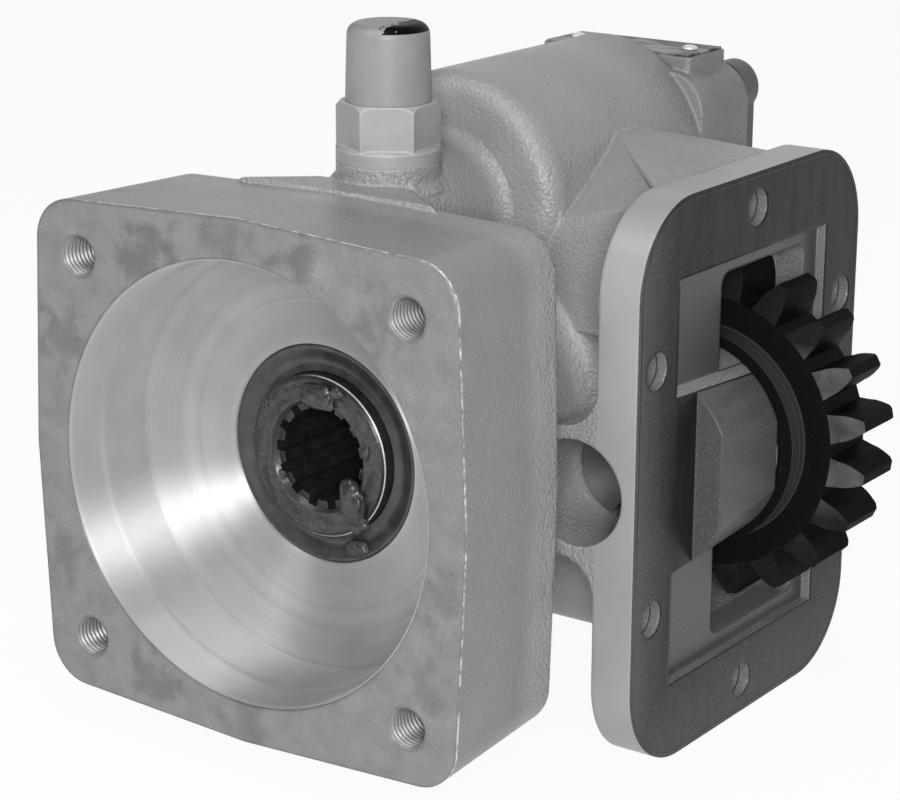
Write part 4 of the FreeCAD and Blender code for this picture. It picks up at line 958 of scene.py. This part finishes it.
# Lamps: name, azimuth and elevation in degrees, and width. All stand LAMP_REACH away, in metres
LAMPS = (("key", 35.0, 18.0, 0.35), ("left", -25.0, 55.0, 0.5), ("top", 35.0, 65.0, 0.5))
LAMP_REACH = 1.4
# Where the camera stands, in metres
CAMERA_PLACE = (0.45156, -0.53615, 0.2358)


def direction(azimuth, elevation):
    """Unit vector towards a place seen from the unit: (sin a cos e, -cos a cos e, sin e)."""
    level = math.cos(elevation)
    return Vector((math.sin(azimuth) * level, -math.cos(azimuth) * level, math.sin(elevation)))


def lamp(name, azimuth, elevation, size, power):
    """A square lamp aimed at the unit. Its azimuth runs from the pump side towards the side flange."""
    target = Vector((0.02, 0.08, 0.0))
    place = target + LAMP_REACH * direction(math.radians(azimuth), math.radians(elevation))
    data = bpy.data.lights.new(name, "AREA")
    data.size = size
    data.energy = power
    light = bpy.data.objects.new(name, data)
    bpy.context.scene.collection.objects.link(light)
    light.location = place
    light.rotation_euler = (target - place).to_track_quat("-Z", "Y").to_euler()


def world_light(strength):
    world = bpy.data.worlds.new("studio")
    world.use_nodes = True
    tree = world.node_tree
    seen = add(tree, "ShaderNodeLightPath").node.outputs
    ray = calc(tree, "MAXIMUM", seen["Is Camera Ray"], seen["Is Transmission Ray"])
    level = remap(tree, ray, 0.0, 1.0, strength, 1.0)
    back = tree.nodes["Background"]
    back.inputs[0].default_value = (1.0, 1.0, 1.0, 1.0)
    tree.links.new(level, back.inputs[1])
    bpy.context.scene.world = world


def camera(settings):
    """Looks as the photograph does: azimuth and elevation set the view, and roll turns it about itself."""
    back = direction(settings.azimuth, settings.elevation)
    right = Vector((math.cos(settings.azimuth), math.sin(settings.azimuth), 0.0))
    up = back.cross(right)
    across = right * math.cos(settings.roll) + up * math.sin(settings.roll)
    upward = up * math.cos(settings.roll) - right * math.sin(settings.roll)
    turn = Matrix((across, upward, back)).transposed().to_4x4()
    turn.translation = Vector(CAMERA_PLACE)
    data = bpy.data.cameras.new("camera")
    data.sensor_fit = "HORIZONTAL"
    data.sensor_width = 36.0
    data.lens = settings.lens
    data.clip_start, data.clip_end = 0.01, 50.0
    view = bpy.data.objects.new("camera", data)
    view.matrix_world = turn
    bpy.context.scene.collection.objects.link(view)
    bpy.context.scene.camera = view


class SCENE_OT_unit_stage(bpy.types.Operator):
    """Sets the floor, the lamps and the camera"""

    bl_idname = "scene.unit_stage"
    bl_label = "Stage"

    def execute(self, context):
        settings = context.scene.unit_stage
        floor = sweep_floor(CAD_BOX[0][2] - 0.0002)
        coat(pale_floor(settings), floor.name)
        for name, azimuth, elevation, size in LAMPS:
            lamp(name, azimuth, elevation, size, getattr(settings, name + "_power"))
        world_light(settings.sky)
        camera(settings)
        context.scene.view_settings.view_transform = "Standard"
        return {"FINISHED"}


class VIEW3D_PT_unit(bpy.types.Panel):
    """Lists what the unit's dressing is made of"""

    bl_label = "Power take off unit"
    bl_idname = "VIEW3D_PT_unit"
    bl_space_type = "VIEW_3D"
    bl_region_type = "UI"
    bl_category = "Unit"

    def draw(self, context):
        for step in STEPS:
            self.layout.operator(step.bl_idname)
        for group in ("unit_housing", "unit_steel", "unit_threads", "unit_grease", "unit_stage"):
            settings = getattr(context.scene, group)
            for key in settings.__annotations__:
                self.layout.prop(settings, key)


STEPS = (OBJECT_OT_unit_castings, OBJECT_OT_unit_metals, OBJECT_OT_unit_soft_trim, MESH_OT_unit_threads,
         MESH_OT_unit_springs, MESH_OT_unit_grease, SCENE_OT_unit_stage)
GROUPS = (("unit_housing", HousingSettings), ("unit_steel", SteelSettings), ("unit_threads", ThreadSettings),
          ("unit_grease", GreaseSettings), ("unit_stage", StageSettings))


def register():
    for name, group in GROUPS:
        bpy.utils.register_class(group)
        setattr(bpy.types.Scene, name, PointerProperty(type=group))
    for item in STEPS + (VIEW3D_PT_unit,):
        bpy.utils.register_class(item)


def unregister():
    for item in reversed(STEPS + (VIEW3D_PT_unit,)):
        bpy.utils.unregister_class(item)
    for name, group in reversed(GROUPS):
        delattr(bpy.types.Scene, name)
        bpy.utils.unregister_class(group)


def main():
    register()
    bpy.ops.object.unit_castings()
    bpy.ops.object.unit_metals()
    bpy.ops.object.unit_soft_trim()
    bpy.ops.mesh.unit_threads()
    bpy.ops.mesh.unit_springs()
    bpy.ops.mesh.unit_grease()
    bpy.ops.scene.unit_stage()


if __name__ == "__main__":
    main()
